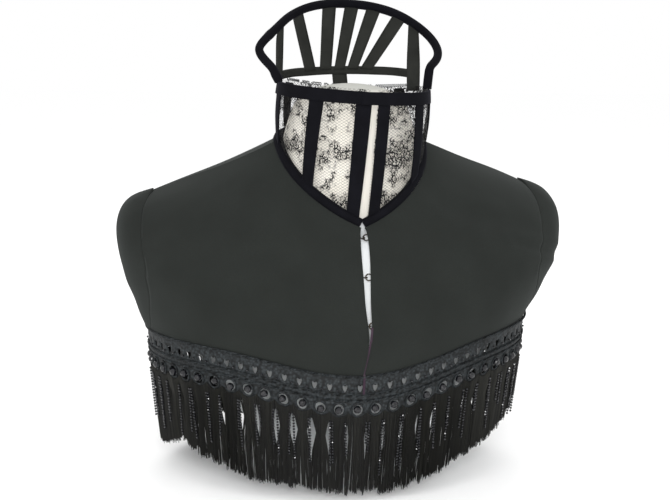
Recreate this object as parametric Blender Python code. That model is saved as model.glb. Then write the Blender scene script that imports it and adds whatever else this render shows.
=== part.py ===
"""A black wool shoulder cape with a boned lace collar, a ribbon fan behind the neck and a tasselled
hem, standing on a limbless dress form. Metres, +Z up. The front faces -Y and the form stands on z = 0.
"""

import math
import random
from collections import namedtuple

import bmesh
import bpy
from mathutils import Vector

# Thicknesses and gaps
GAP = 0.0003
WOOL = 0.0015
LACE = 0.0010
RIBBON = 0.0012
BAND = 0.0016

# The wool shell, from the neck seam down to the hem, a row for each section. A section is half an
# ellipse in front and half an ellipse behind, and its height changes from its side to its middle.
# point: 1 gives the section a V in front, 0 a round dip. tilt: rise towards the wearer's left.
# shift: the section's middle, towards the wearer's left. opening: half the front opening's width.
# droop: how far the front corners hang below the round dip.
Section = namedtuple(
    "Section",
    "half_width side_y front_y back_y side_z front_z back_z point tilt shift opening droop",
    defaults=(0.0, 0.0, 0.0, 0.0, 0.0),
)
SHELL = (
    Section(0.0605, -0.022, -0.082, 0.038, 0.283, 0.2220, 0.291, 1.00, 0.00, 0.0000, 0.0012),
    Section(0.0765, -0.015, -0.091, 0.050, 0.275, 0.2130, 0.285, 0.75, 0.02, 0.0000, 0.0030),
    Section(0.1040, 0.000, -0.101, 0.068, 0.262, 0.1970, 0.273, 0.50, 0.03, 0.0000, 0.0034),
    Section(0.1320, 0.014, -0.108, 0.082, 0.251, 0.1810, 0.255, 0.25, 0.03, 0.0000, 0.0028),
    Section(0.1600, 0.024, -0.113, 0.092, 0.239, 0.1660, 0.233, 0.00, 0.026, 0.0000, 0.0024),
    Section(0.1810, 0.026, -0.117, 0.098, 0.227, 0.1550, 0.210, 0.00, 0.024, 0.0004, 0.0020),
    Section(0.1905, 0.022, -0.120, 0.102, 0.208, 0.1465, 0.189, 0.00, 0.03, 0.0012, 0.0014, 0.0020),
    Section(0.1875, 0.016, -0.122, 0.105, 0.184, 0.1400, 0.168, 0.00, 0.03, 0.0012, 0.0008, 0.0060),
    Section(0.1780, 0.008, -0.123, 0.107, 0.157, 0.1340, 0.147, 0.00, 0.03, -0.0008, 0.0005, 0.0120),
    Section(0.1642, 0.000, -0.122, 0.108, 0.129, 0.1290, 0.125, 0.00, 0.03, -0.0038, 0.0004, 0.0215),
)
POINT_CURVE = 1.15
DROOP_POWER = 8
TIP = 4.0
HEM = 9.0

# The seams of the puffed side panels: how far round from the centre front they lie at each section,
# and how far the panel stands proud of the shell.
Seam = namedtuple("Seam", "section right_front left_front back puff")
SEAMS = (
    Seam(4.0, 89.0, 89.0, 91.0, 0.0004),
    Seam(5.0, 73.0, 66.0, 109.0, 0.0058),
    Seam(6.0, 66.0, 56.0, 116.0, 0.0058),
    Seam(7.0, 65.0, 55.0, 116.0, 0.0044),
    Seam(8.0, 69.0, 63.0, 110.0, 0.0028),
    Seam(9.0, 79.0, 77.0, 100.0, 0.0012),
)

# The dress form under the shell: its neck above the seam, and its body below the shoulder tips.
FORM_NECK = (
    Section(0.0520, -0.020, -0.073, 0.030, 0.299, 0.262, 0.303),
    Section(0.0485, -0.019, -0.068, 0.027, 0.310, 0.298, 0.311),
    Section(0.0410, -0.019, -0.060, 0.020, 0.320, 0.316, 0.320),
    Section(0.0260, -0.019, -0.044, 0.006, 0.327, 0.326, 0.327),
)
FORM_CROWN = Vector((0.0, -0.019, 0.330))
FORM_BODY = (
    Section(0.156, 0.024, -0.107, 0.087, 0.224, 0.155, 0.213),
    Section(0.150, 0.018, -0.110, 0.090, 0.199, 0.142, 0.184),
    Section(0.147, 0.010, -0.111, 0.091, 0.165, 0.127, 0.152),
    Section(0.141, 0.004, -0.109, 0.089, 0.130, 0.110, 0.124),
    Section(0.128, 0.000, -0.101, 0.082, 0.099, 0.091, 0.098),
    Section(0.105, -0.002, -0.086, 0.068, 0.067, 0.064, 0.066),
    Section(0.079, -0.004, -0.068, 0.053, 0.036, 0.036, 0.036),
    Section(0.063, -0.005, -0.060, 0.048, 0.014, 0.014, 0.014),
    Section(0.058, -0.005, -0.057, 0.046, 0.000, 0.000, 0.000),
)
EASE_SIDE = 0.0007
EASE_FRONT = 0.0052
EASE_BACK = 0.0035
EASE_NECK = 0.0033
FORM_SOFT_DEG = 15.0

# The stand collar: its top edge, and how far the top is turned towards the wearer's left.
COLLAR_HALF_WIDTH = 0.0615
COLLAR_SHIFT = 0.0020
COLLAR_SIDE_Y = -0.022
COLLAR_FRONT_Y = -0.082
COLLAR_BACK_Y = 0.037
COLLAR_TOP_FRONT = 0.3270
COLLAR_TOP_SIDE = 0.3275
COLLAR_TOP_BACK = 0.3200
COLLAR_LEAN = -0.045
COLLAR_TWIST_DEG = 5.0
COLLAR_BULGE = 0.0020
COLLAR_OPENING = 0.0032
BINDING_RADIUS = 0.0032
BINDING_POINT = 0.0020
BINDING_MEET = 0.0005
BINDING_ROOM = 1.22
TOP_BAND_HEIGHT = 0.0095
TOP_BAND_END_DEG = 97.0

# The ribbons over the bones: angles at the foot and at the top, and half widths there.
Bone = namedtuple("Bone", "foot_deg top_deg foot_half top_half")
BONES = (
    Bone(-8.0, -7.5, 0.0050, 0.0062),
    Bone(8.0, 8.0, 0.0046, 0.0050),
    Bone(-44.0, -42.0, 0.0048, 0.0060),
    Bone(47.0, 44.0, 0.0052, 0.0062),
    Bone(-86.0, -86.0, 0.0048, 0.0056),
    Bone(86.0, 84.0, 0.0048, 0.0056),
    Bone(-130.0, -130.0, 0.0048, 0.0052),
    Bone(130.0, 130.0, 0.0048, 0.0052),
    Bone(179.9, 179.9, 0.0048, 0.0052),
)

# The fan: its wired rim from end to end, its foot band and its ribs.
RimPoint = namedtuple("RimPoint", "x y z")
RIM = (
    RimPoint(-0.0605, -0.0220, 0.3312),
    RimPoint(-0.0630, -0.0215, 0.3358),
    RimPoint(-0.0660, -0.0170, 0.3420),
    RimPoint(-0.0715, -0.0090, 0.3480),
    RimPoint(-0.0750, 0.0000, 0.3560),
    RimPoint(-0.0670, 0.0100, 0.3645),
    RimPoint(-0.0550, 0.0230, 0.3740),
    RimPoint(-0.0450, 0.0340, 0.3815),
    RimPoint(-0.0290, 0.0480, 0.3885),
    RimPoint(-0.0080, 0.0590, 0.3925),
    RimPoint(0.0160, 0.0610, 0.3925),
    RimPoint(0.0350, 0.0560, 0.3900),
    RimPoint(0.0510, 0.0460, 0.3850),
    RimPoint(0.0650, 0.0330, 0.3765),
    RimPoint(0.0750, 0.0180, 0.3665),
    RimPoint(0.0785, 0.0030, 0.3565),
    RimPoint(0.0750, -0.0080, 0.3490),
    RimPoint(0.0680, -0.0160, 0.3440),
    RimPoint(0.0655, -0.0210, 0.3385),
    RimPoint(0.0645, -0.0225, 0.3320),
    RimPoint(0.0640, -0.0225, 0.3256),
)
RIM_RADIUS = 0.0038
RIM_STEPS = 2
FAN_HALF_WIDTH = 0.0535
FAN_SIDE_Y = -0.0060
FAN_BACK_Y = 0.0370
FAN_SIDE_Z = 0.3338
FAN_BACK_Z = 0.3365
FAN_LEAN = 0.0250
FAN_FOOT_HEIGHT = 0.0070
FAN_FOOT_THICKNESS = 0.0020
FAN_FOOT_END_DEG = 111.0
RIB_THICKNESS = 0.0014
RIB_CLEAR = 0.0009
Rib = namedtuple("Rib", "foot_x top_x foot_half top_half")
RIBS = (
    Rib(-0.0270, -0.0370, 0.0054, 0.0062),
    Rib(-0.0120, -0.0060, 0.0052, 0.0062),
    Rib(0.0008, 0.0145, 0.0046, 0.0062),
    Rib(0.0124, 0.0335, 0.0046, 0.0062),
    Rib(0.0248, 0.0540, 0.0052, 0.0062),
)
# The posts at the fan's ends: their feet, how these are turned, where they reach the rim and how
# near they come to it
Post = namedtuple("Post", "number foot_x foot_y foot_way top_x clear")
POSTS = (
    Post(0, -0.0572, 0.0007, Vector((0.50, 0.87, 0.0)), -0.0540, 0.0003),
    Post(6, 0.0575, 0.0007, Vector((0.97, 0.25, 0.0)), 0.0640, 0.0009),
)
POST_FOOT_DEG = 99.0
POST_HALF_WIDTH = 0.0058
POST_RISE = 0.0012
STUB_HALF_WIDTH = 0.0064

# The fastenings of the front opening, by the height of their middles
HOOK_HEIGHTS = (0.2135, 0.1840, 0.1470)
WIRE = 0.0005
EYE_RADIUS = 0.0027
HOOK_REACH = 0.0080
HOOK_BILL = 0.0013

# The fringe: an openwork heading with a slot over each eyelet, then the tassels
MODULES = 29
HEADING = 0.0016
FALL_IN = 0.80
SLOT_TOP, SLOT_FOOT = 0.0075, 0.0140
EYELET_TOP, EYELET_FOOT = 0.0235, 0.0325
EYELET_POINT = 0.0017
HEADING_FOOT = 0.0385
BACKING_TOP, BACKING_FOOT = 0.0388, 0.0420
BACKING_THICKNESS = 0.0030
LOCKS = 3
NECK_DROP = 0.0500
NECK_SPREAD, NECK_HALF = 0.0023, 0.0010
TIP_SPREAD, TIP_HALF = 0.0045, 0.0017
LOCK_DEPTH_NECK, LOCK_DEPTH_TIP = 0.0020, 0.0014
LENGTH_JITTER = 0.0035
SWAY = 0.0005
# The height of the tassels' tips round the hem, by the angle from the centre front
TipHeight = namedtuple("TipHeight", "angle_deg z")
TIPS = (
    TipHeight(-180.0, 0.0140),
    TipHeight(-110.0, 0.0160),
    TipHeight(-85.0, 0.0240),
    TipHeight(-68.0, 0.0360),
    TipHeight(-58.0, 0.0340),
    TipHeight(-48.0, 0.0275),
    TipHeight(-33.0, 0.0160),
    TipHeight(-18.0, 0.0120),
    TipHeight(-6.0, 0.0085),
    TipHeight(1.0, 0.0045),
    TipHeight(12.0, 0.0090),
    TipHeight(26.0, 0.0170),
    TipHeight(32.0, 0.0250),
    TipHeight(43.0, 0.0345),
    TipHeight(54.0, 0.0450),
    TipHeight(64.0, 0.0510),
    TipHeight(88.0, 0.0500),
    TipHeight(130.0, 0.0270),
    TipHeight(180.0, 0.0140),
)

# Where the grids have their rows and columns
NECK_TO_TIP = (0.0, 0.5, 1.0, 1.6, 2.2, 2.8, 3.4, 4.0)
TIP_TO_HEM = (4.2, 4.6, 5.1, 5.8, 6.8, 7.9, 9.0)
QUARTER = 9
RIGHT, LEFT = -1, 1


def clear_scene():
    for obj in list(bpy.data.objects):
        bpy.data.objects.remove(obj, do_unlink=True)


def material(name, colour, roughness, metallic=0.0):
    made = bpy.data.materials.new(name)
    made.use_nodes = True
    shader = made.node_tree.nodes["Principled BSDF"]
    shader.inputs["Base Color"].default_value = (*colour, 1.0)
    shader.inputs["Roughness"].default_value = roughness
    shader.inputs["Metallic"].default_value = metallic
    return made


def smooth_value(values, at):
    """A value of a smooth curve through evenly spaced values."""
    last = len(values) - 1
    at = min(max(at, 0.0), float(last))
    i = min(int(at), last - 1)
    t = at - i
    before, start = values[max(i - 1, 0)], values[i]
    end, after = values[i + 1], values[min(i + 2, last)]
    slope_in = (end - before) / (2 if i > 0 else 1)
    slope_out = (after - start) / (2 if i + 1 < last else 1)
    return (
        (2 * t**3 - 3 * t**2 + 1) * start
        + (t**3 - 2 * t**2 + t) * slope_in
        + (-2 * t**3 + 3 * t**2) * end
        + (t**3 - t**2) * slope_out
    )


def table_value(table, key, column, at):
    """A column of a table at a place between two of its rows, on a straight line."""
    for low, high in zip(table, table[1:]):
        if at <= getattr(high, key):
            share = (at - getattr(low, key)) / (getattr(high, key) - getattr(low, key))
            return getattr(low, column) + max(share, 0.0) * (getattr(high, column) - getattr(low, column))
    return getattr(table[-1], column)


def seam_value(column, at):
    """A column of the seams' table on a smooth curve, as the table's rows are a section apart."""
    return smooth_value([getattr(seam, column) for seam in SEAMS], at - TIP)


def shell_section(at):
    columns = zip(*SHELL)
    return Section(*(smooth_value(column, at) for column in columns))


def section_point(s, angle, soft_deg=0.0):
    """The point of a section at an angle from the centre front, positive to the wearer's left."""
    across, along = math.sin(angle), math.cos(angle)
    x = s.half_width * across
    if along >= 0:
        soft = math.radians(soft_deg)
        turn = math.hypot(angle, soft) - soft
        whole = math.hypot(math.pi / 2, soft) - soft
        dip = (1 - s.point) * along**2 + s.point * (1 - (turn / whole) ** POINT_CURVE)
        y = s.side_y + (s.front_y - s.side_y) * along
        z = s.side_z + (s.front_z - s.side_z) * dip - s.droop * along**DROOP_POWER
    else:
        y = s.side_y - (s.back_y - s.side_y) * along
        z = s.side_z + (s.back_z - s.side_z) * along**2
    return Vector((x + s.shift, y, z + s.tilt * x))


def surface_normal(place, at, angle):
    """The outward normal of a surface place(at, angle), from points close by."""
    step = 0.02
    turn = math.copysign(step, angle)
    if abs(angle) > math.pi - 2 * step:
        turn = -turn
    low, high = max(at - step, 0.0), at + step
    if high > HEM:
        low, high = at - step, at
    down = place(high, angle) - place(low, angle)
    round_way = (place(at, angle + turn) - place(at, angle)) * math.copysign(1.0, turn)
    return down.cross(round_way).normalized()


def shell_base(at, angle):
    return section_point(shell_section(at), angle)


def shell(at, angle, out=0.0):
    point = shell_base(at, angle)
    return point + surface_normal(shell_base, at, angle) * out if out else point


def turn_for(place, at, angle, distance):
    """The angle that moves a point round the surface by a distance."""
    step = 0.01
    speed = (place(at, angle + step) - place(at, angle - step)).length / (2 * step)
    return distance / speed


def beside_binding(angle, away):
    """The share of a line away from the neck seam that the binding takes up."""
    turn = math.copysign(0.02, angle) if abs(angle) < math.pi - 0.03 else -math.copysign(0.02, angle)
    along = (shell_base(0.0, angle + turn) - shell_base(0.0, angle)).normalized()
    square = away.normalized().cross(along).length
    return (BINDING_RADIUS + GAP) * BINDING_ROOM / (square * away.length)


def neck_start(angle):
    """Where the wool begins, just below the binding."""
    return beside_binding(angle, shell_base(1.0, angle) - shell_base(0.0, angle))


def collar_top(angle):
    turned = angle + math.radians(COLLAR_TWIST_DEG) * (1 + math.cos(angle)) / 2
    across, along = math.sin(turned), math.cos(turned)
    middle_y = COLLAR_FRONT_Y if along >= 0 else COLLAR_BACK_Y
    middle_z = COLLAR_TOP_FRONT if along >= 0 else COLLAR_TOP_BACK
    x = COLLAR_HALF_WIDTH * across + COLLAR_SHIFT
    y = COLLAR_SIDE_Y + (middle_y - COLLAR_SIDE_Y) * abs(along)
    z = COLLAR_TOP_SIDE + (middle_z - COLLAR_TOP_SIDE) * along**2
    return Vector((x, y, z + COLLAR_LEAN * x))


def collar(rise, angle, out=0.0):
    """A point of the collar: rise 0 is the neck seam and 1 the top edge."""
    foot, top = shell_base(0.0, angle), collar_top(angle)
    point = foot.lerp(top, rise)
    round_way = collar_top(angle + 0.01) - collar_top(angle - 0.01)
    normal = round_way.cross(top - foot).normalized()
    return point + normal * (out + COLLAR_BULGE * math.sin(math.pi * min(max(rise, 0.0), 1.0)))


def collar_height(angle):
    return (collar_top(angle) - shell_base(0.0, angle)).length


def collar_start(angle):
    """Where the collar begins, just above the binding."""
    return beside_binding(angle, collar_top(angle) - shell_base(0.0, angle))


def add_object(name, mesh, finish):
    obj = bpy.data.objects.new(name, mesh)
    mesh.materials.append(finish)
    bpy.data.collections["fringed_cape"].objects.link(obj)
    return obj


def finish_mesh(name, bm, finish, smooth=True):
    bmesh.ops.recalc_face_normals(bm, faces=bm.faces)
    mesh = bpy.data.meshes.new(name)
    bm.to_mesh(mesh)
    bm.free()
    if smooth:
        mesh.shade_smooth()
        mesh.set_sharp_from_angle(angle=math.radians(40))
    return add_object(name, mesh, finish)


def wall(name, outer, inner, finish, holes=()):
    """A closed wall between two grids of points, with some cells left open right through."""
    bm = bmesh.new()
    faces = [[[bm.verts.new(p) for p in row] for row in side] for side in (outer, inner)]
    rows, columns = len(outer) - 1, len(outer[0]) - 1
    solid = {(r, c) for r in range(rows) for c in range(columns)} - set(holes)
    for r, c in sorted(solid):
        for grid in faces:
            bm.faces.new((grid[r][c], grid[r][c + 1], grid[r + 1][c + 1], grid[r + 1][c]))
        edges = (
            ((r - 1, c), (r, c), (r, c + 1)),
            ((r + 1, c), (r + 1, c), (r + 1, c + 1)),
            ((r, c - 1), (r, c), (r + 1, c)),
            ((r, c + 1), (r, c + 1), (r + 1, c + 1)),
        )
        for beyond, start, end in edges:
            if beyond not in solid:
                a, b = (faces[0][i][j] for i, j in (start, end))
                d, e = (faces[1][i][j] for i, j in (end, start))
                bm.faces.new((a, b, d, e))
    loose = [v for v in bm.verts if not v.link_faces]
    bmesh.ops.delete(bm, geom=loose, context="VERTS")
    return finish_mesh(name, bm, finish)


def loft(name, sections, finish):
    """A closed body through sections that have the same number of corners."""
    bm = bmesh.new()
    rings = [[bm.verts.new(p) for p in section] for section in sections]
    count = len(rings[0])
    for low, high in zip(rings, rings[1:]):
        for i in range(count):
            j = (i + 1) % count
            bm.faces.new((low[i], low[j], high[j], high[i]))
    bm.faces.new(rings[0])
    bm.faces.new(rings[-1])
    return finish_mesh(name, bm, finish)


def tube(name, points, radius, finish, closed=False):
    """A round tube along its points, as a bevelled curve with its caps welded."""
    curve = bpy.data.curves.new(name, "CURVE")
    curve.dimensions = "3D"
    curve.bevel_depth = radius
    curve.bevel_resolution = 2
    curve.use_fill_caps = not closed
    spline = curve.splines.new("POLY")
    spline.points.add(len(points) - 1)
    for knot, point in zip(spline.points, points):
        knot.co = (*point, 1.0)
    spline.use_cyclic_u = closed
    return add_object(name, curve, finish)


def lerp(a, b, share):
    return a + (b - a) * share


def front_edge(at, side):
    """The angle of the front panel's edge along the opening."""
    s = shell_section(at)
    return side * math.asin(s.opening / s.half_width)


def front_seam(at, side):
    """The angle of the seam between a front and the shoulder line or the side panel."""
    if at <= TIP:
        return side * math.pi / 2
    column = "left_front" if side == LEFT else "right_front"
    return side * math.radians(seam_value(column, at))


def back_seam(at, side):
    if at <= TIP:
        return side * math.pi / 2
    return side * math.radians(seam_value("back", at))


def shell_panel(name, rows, first, last, columns, finish, puff=None):
    """A panel of the shell between two seams, given as functions of the section."""
    outer, inner = [], []
    for row in rows:
        start, end = first(row), last(row)
        line = []
        for c in range(columns + 1):
            share = c / columns
            angle = lerp(start, end, share)
            at = max(row, neck_start(angle)) if row < 0.5 else row
            line.append((at, angle, puff(at, share) if puff else 0.0))
        outer.append([shell(at, angle, out) for at, angle, out in line])
        inner.append([shell(at, angle, out - WOOL) for at, angle, out in line])
    return wall(name, outer, inner, finish)


def seam_side(seam, side, toward):
    """A seam's angle moved half a gap towards the panel that it bounds."""

    def edge(at):
        angle = seam(at, side)
        return angle + toward * turn_for(shell_base, at, angle, GAP / 2)

    return edge


def make_wool(wool):
    rows = NECK_TO_TIP + TIP_TO_HEM
    for side, word in ((RIGHT, "right"), (LEFT, "left")):
        shell_panel(
            f"front_{word}",
            rows,
            lambda at, side=side: front_edge(at, side),
            seam_side(front_seam, side, -side),
            QUARTER,
            wool,
        )

        def puff(at, share):
            height = seam_value("puff", at)
            return height * (1 - abs(2 * share - 1) ** 4)

        shell_panel(
            f"side_{word}",
            TIP_TO_HEM,
            seam_side(front_seam, side, side),
            seam_side(back_seam, side, -side),
            6,
            wool,
            puff,
        )
    shell_panel(
        "back",
        rows,
        seam_side(back_seam, LEFT, LEFT),
        lambda at: 2 * math.pi + seam_side(back_seam, RIGHT, RIGHT)(at),
        2 * QUARTER,
        wool,
    )


def make_form(canvas):
    """The dress form: the shell's own sections moved in, then its neck and its lower body."""
    columns = 4 * QUARTER
    angles = [lerp(-math.pi, math.pi, c / columns) for c in range(columns)]

    def under_shell(at, angle):
        along = math.cos(angle)
        ease = EASE_SIDE + (EASE_FRONT if along > 0 else EASE_BACK) * along**2
        ease += EASE_NECK * max(1.0 - at, 0.0)
        soft = section_point(shell_section(at), angle, FORM_SOFT_DEG)
        normal = surface_normal(shell_base, at, angle or 0.001)
        if abs(angle) < 0.01:
            normal.x = 0.0
        return soft - normal.normalized() * (WOOL + ease)

    def ring(section):
        return [section_point(section, angle) for angle in angles]

    rings = [ring(section) for section in reversed(FORM_NECK)]
    rings += [[under_shell(at, angle) for angle in angles] for at in NECK_TO_TIP]
    rings += [ring(section) for section in FORM_BODY]
    bm = bmesh.new()
    crown = bm.verts.new(FORM_CROWN)
    grid = [[bm.verts.new(p) for p in points] for points in rings]
    for i in range(columns):
        j = (i + 1) % columns
        bm.faces.new((crown, grid[0][i], grid[0][j]))
        for low, high in zip(grid, grid[1:]):
            bm.faces.new((low[i], high[i], high[j], low[j]))
    bm.faces.new(grid[-1])
    finish_mesh("dress_form", bm, canvas)


def make_collar(lace, velvet):
    start = 2.0 * math.asin(0.5 * COLLAR_OPENING / COLLAR_HALF_WIDTH)
    columns, rows = 16, 4
    for side, word in ((RIGHT, "right"), (LEFT, "left")):
        last = math.pi - GAP / 2 / COLLAR_HALF_WIDTH
        angles = [side * lerp(start, last, c / columns) for c in range(columns + 1)]
        grids = []
        for out in (0.0, -LACE):
            grid = []
            for r in range(rows + 1):
                line = []
                for angle in angles:
                    foot = collar_start(angle)
                    line.append(collar(lerp(foot, 1.0, r / rows), angle, out))
                grid.append(line)
            grids.append(grid)
        wall(f"lace_{word}", grids[0], grids[1], lace)
        seam_end = math.pi - BINDING_MEET / SHELL[0].half_width
        seam = [lerp(BINDING_POINT / SHELL[0].half_width, seam_end, c / 18) for c in range(19)]
        tube(f"binding_{word}", [shell_base(0.0, side * a) for a in seam], BINDING_RADIUS, velvet)
        meet = GAP / COLLAR_HALF_WIDTH - math.radians(COLLAR_TWIST_DEG) * side
        end = math.radians(TOP_BAND_END_DEG)
        grids = []
        for out in (GAP + BAND, GAP):
            grid = []
            for r in range(3):
                line = []
                for c in range(13):
                    angle = side * lerp(meet, end, c / 12)
                    height = collar_height(angle)
                    rise = 1.0 + (GAP - TOP_BAND_HEIGHT * (1 - r / 2)) / height
                    line.append(collar(rise, angle, out))
                grid.append(line)
            grids.append(grid)
        wall(f"top_band_{word}", grids[0], grids[1], velvet)
    for number, bone in enumerate(BONES):
        grids = []
        for out in (GAP + RIBBON, GAP):
            grid = []
            for r in range(5):
                share = r / 4
                angle = math.radians(lerp(bone.foot_deg, bone.top_deg, share))
                height = collar_height(angle)
                foot = collar_start(angle) + GAP / height
                under_band = abs(bone.top_deg) < TOP_BAND_END_DEG
                top = 1.0 - (TOP_BAND_HEIGHT + 2 * GAP if under_band else 0.0) / height
                half = lerp(bone.foot_half, bone.top_half, share) / COLLAR_HALF_WIDTH
                line = [
                    collar(lerp(foot, top, share), angle + half * across, out)
                    for across in (-1, 0, 1)
                ]
                grid.append(line)
            grids.append(grid)
        wall(f"bone_{number}", grids[0], grids[1], velvet)


def rim_points():
    count = (len(RIM) - 1) * RIM_STEPS
    columns = list(zip(*RIM))
    return [Vector([smooth_value(column, i / RIM_STEPS) for column in columns]) for i in range(count + 1)]


def rim_at(points, x):
    """The rim's point and direction over a place across the fan."""
    arch = [p for p in points if p.z > 0.36]
    for low, high in zip(arch, arch[1:]):
        if low.x <= x <= high.x:
            share = (x - low.x) / (high.x - low.x)
            return low.lerp(high, share), (high - low).normalized()
    raise ValueError("no rim there")


def below_rim(foot, rim, rim_way, clear):
    """Where a ribbon from the foot ends, just clear of the rim's tube."""
    way = (rim - foot).normalized()
    return rim - way * (RIM_RADIUS + clear) / way.cross(rim_way).length


def fan_foot(angle):
    x, behind = FAN_HALF_WIDTH * math.sin(angle), max(-math.cos(angle), 0.0)
    return Vector((
        x,
        lerp(FAN_SIDE_Y, FAN_BACK_Y, behind),
        lerp(FAN_SIDE_Z, FAN_BACK_Z, behind) + FAN_LEAN * x,
    ))


def ribbon(name, foot, foot_way, top, top_way, foot_half, top_half, finish, stations=5):
    """A flat ribbon from its foot to its top, turning from one direction to the other."""
    sections = []
    for i in range(stations):
        share = i / (stations - 1)
        centre = foot.lerp(top, share)
        way = foot_way.lerp(top_way, share).normalized()
        face = way.cross(top - foot).normalized() * RIB_THICKNESS / 2
        half = way * lerp(foot_half, top_half, share)
        sections.append([centre - half - face, centre + half - face, centre + half + face, centre - half + face])
    loft(name, sections, finish)


def make_fan(velvet):
    points = rim_points()
    tube("fan_rim", points, RIM_RADIUS, velvet)
    columns = 20
    end = math.radians(FAN_FOOT_END_DEG)
    grids = []
    for out in (FAN_FOOT_THICKNESS / 2, -FAN_FOOT_THICKNESS / 2):
        grid = []
        for rise in (-0.5, 0.5):
            line = []
            for c in range(columns + 1):
                angle = lerp(end, 2 * math.pi - end, c / columns)
                point = fan_foot(angle)
                way = (fan_foot(angle + 0.01) - fan_foot(angle - 0.01)).normalized()
                normal = Vector((0, 0, 1)).cross(way)
                line.append(point + normal * out + Vector((0, 0, rise * FAN_FOOT_HEIGHT)))
            grid.append(line)
        grids.append(grid)
    wall("fan_base", grids[0], grids[1], velvet)
    clear = Vector((0, 0, FAN_FOOT_HEIGHT / 2 + 3 * GAP))
    for number, rib in enumerate(RIBS, start=1):
        angle = math.pi - math.asin(rib.foot_x / FAN_HALF_WIDTH)
        foot = fan_foot(angle) + clear
        foot_way = (fan_foot(angle - 0.01) - fan_foot(angle + 0.01)).normalized()
        rim, rim_way = rim_at(points, rib.top_x)
        top = below_rim(foot, rim, rim_way, RIB_CLEAR)
        ribbon(f"fan_rib_{number}", foot, foot_way, top, rim_way, rib.foot_half, rib.top_half, velvet)
    for post in POSTS:
        below = collar_top(math.copysign(math.radians(POST_FOOT_DEG), post.foot_x))
        foot = Vector((post.foot_x, post.foot_y, below.z + POST_RISE))
        rim, rim_way = rim_at(points, post.top_x)
        top = below_rim(foot, rim, rim_way, post.clear)
        top_way = rim_way * math.copysign(1.0, rim_way.dot(post.foot_way))
        name = f"fan_rib_{post.number}"
        ribbon(name, foot, post.foot_way, top, top_way, POST_HALF_WIDTH, POST_HALF_WIDTH, velvet)
    foot = fan_foot(math.pi) - clear
    low = collar_top(math.pi)
    low = Vector((low.x, foot.y, low.z + 3 * GAP))
    way = Vector((1.0, 0.0, 0.0))
    ribbon("fan_stub", low, way, foot, way, STUB_HALF_WIDTH, STUB_HALF_WIDTH, velvet, 2)


def section_at_height(height):
    """The shell's section whose centre front lies at a height."""
    low, high = 0.0, HEM
    for _ in range(40):
        middle = (low + high) / 2
        if shell_base(middle, 0.0).z > height:
            low = middle
        else:
            high = middle
    return low


def make_fastenings(steel):
    """Each eye is a ring behind the left front, and its hook comes through it and turns back."""
    lie = WOOL + 2.5 * GAP + WIRE
    turns = 10
    for number, height in enumerate(HOOK_HEIGHTS, start=1):
        at = section_at_height(height)
        section = shell_section(at)
        ring_angle = math.asin((EYE_RADIUS - 0.3 * section.opening) / section.half_width)
        middle = shell_base(at, ring_angle)
        normal = surface_normal(shell_base, at, ring_angle)
        across = (shell_base(at, ring_angle + 0.01) - middle).normalized()
        up = normal.cross(across)
        centre = middle - normal * lie
        ring = []
        for i in range(turns):
            turn = 2 * math.pi * i / turns
            ring.append(centre + (across * math.cos(turn) + up * math.sin(turn)) * EYE_RADIUS)
        tube(f"eye_{number}", ring, WIRE, steel, closed=True)
        shank = [
            shell(at, -math.asin(reach / section.half_width), -lie)
            for reach in (HOOK_REACH, HOOK_REACH / 2, section.opening + WIRE)
        ]
        near = centre - across * EYE_RADIUS
        bend = []
        for step in range(7):
            turn = math.radians(30 * step)
            bend.append(near + (across * math.sin(turn) - normal * math.cos(turn)) * HOOK_BILL)
        tube(f"hook_{number}", shank + bend, WIRE, steel)


def skirt(angle, drop, out=0.0):
    """A point of the fringe's surface, a distance below the hem."""
    rim = shell_base(HEM, angle)
    ahead = shell_base(HEM, angle + 0.01) - shell_base(HEM, angle - 0.01)
    normal = Vector((-ahead.y, ahead.x, 0.0)).normalized()
    if normal.x * rim.x + normal.y * rim.y < 0:
        normal = -normal
    inward = 1 - FALL_IN * drop
    return Vector((rim.x * inward, rim.y * inward, rim.z - drop)) + normal * out


def even_angles(start, end, count):
    """Angles from start to end that cut the hem into equal lengths."""
    fine = 600
    angles = [lerp(start, end, i / fine) for i in range(fine + 1)]
    points = [shell_base(HEM, a) for a in angles]
    lengths = [0.0]
    for a, b in zip(points, points[1:]):
        lengths.append(lengths[-1] + (b - a).length)
    found, j = [], 0
    for i in range(count + 1):
        want = lengths[-1] * i / count
        while j < fine - 1 and lengths[j + 1] < want:
            j += 1
        share = (want - lengths[j]) / (lengths[j + 1] - lengths[j])
        found.append(lerp(angles[j], angles[j + 1], share))
    return found


def make_heading(braid):
    """A braid with a slot and an eyelet in each module, three columns of cells to a module."""
    edge = front_edge(HEM, LEFT)
    back = math.pi - turn_for(shell_base, HEM, 3.0, GAP / 2)
    for side, word in ((RIGHT, "right"), (LEFT, "left")):
        rings = even_angles(edge, back, MODULES)
        drops = (GAP, SLOT_TOP, SLOT_FOOT, EYELET_TOP, EYELET_FOOT, HEADING_FOOT)
        widths = (0.24, 0.17, 0.09, 0.29, 0.29, 0.29)
        grids = ([], [])
        for r, (drop, half) in enumerate(zip(drops, widths)):
            for grid, out in zip(grids, (0.0, -HEADING)):
                line = [skirt(side * edge, drop, out)]
                for m in range(MODULES):
                    for place, share in ((-1, 0.5 - half), (0, 0.5), (1, 0.5 + half)):
                        angle = side * lerp(rings[m], rings[m + 1], share)
                        rise = (EYELET_POINT if r == 3 else -EYELET_POINT if r == 4 else 0.0)
                        line.append(skirt(angle, drop - (rise if place == 0 else 0.0), out))
                line.append(skirt(side * back, drop, out))
                grid.append(line)
        holes = [
            (row, 1 + 3 * m + half)
            for m in range(MODULES)
            for row in (1, 3)
            for half in (0, 1)
        ]
        wall(f"heading_{word}", grids[0], grids[1], braid, holes)


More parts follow.
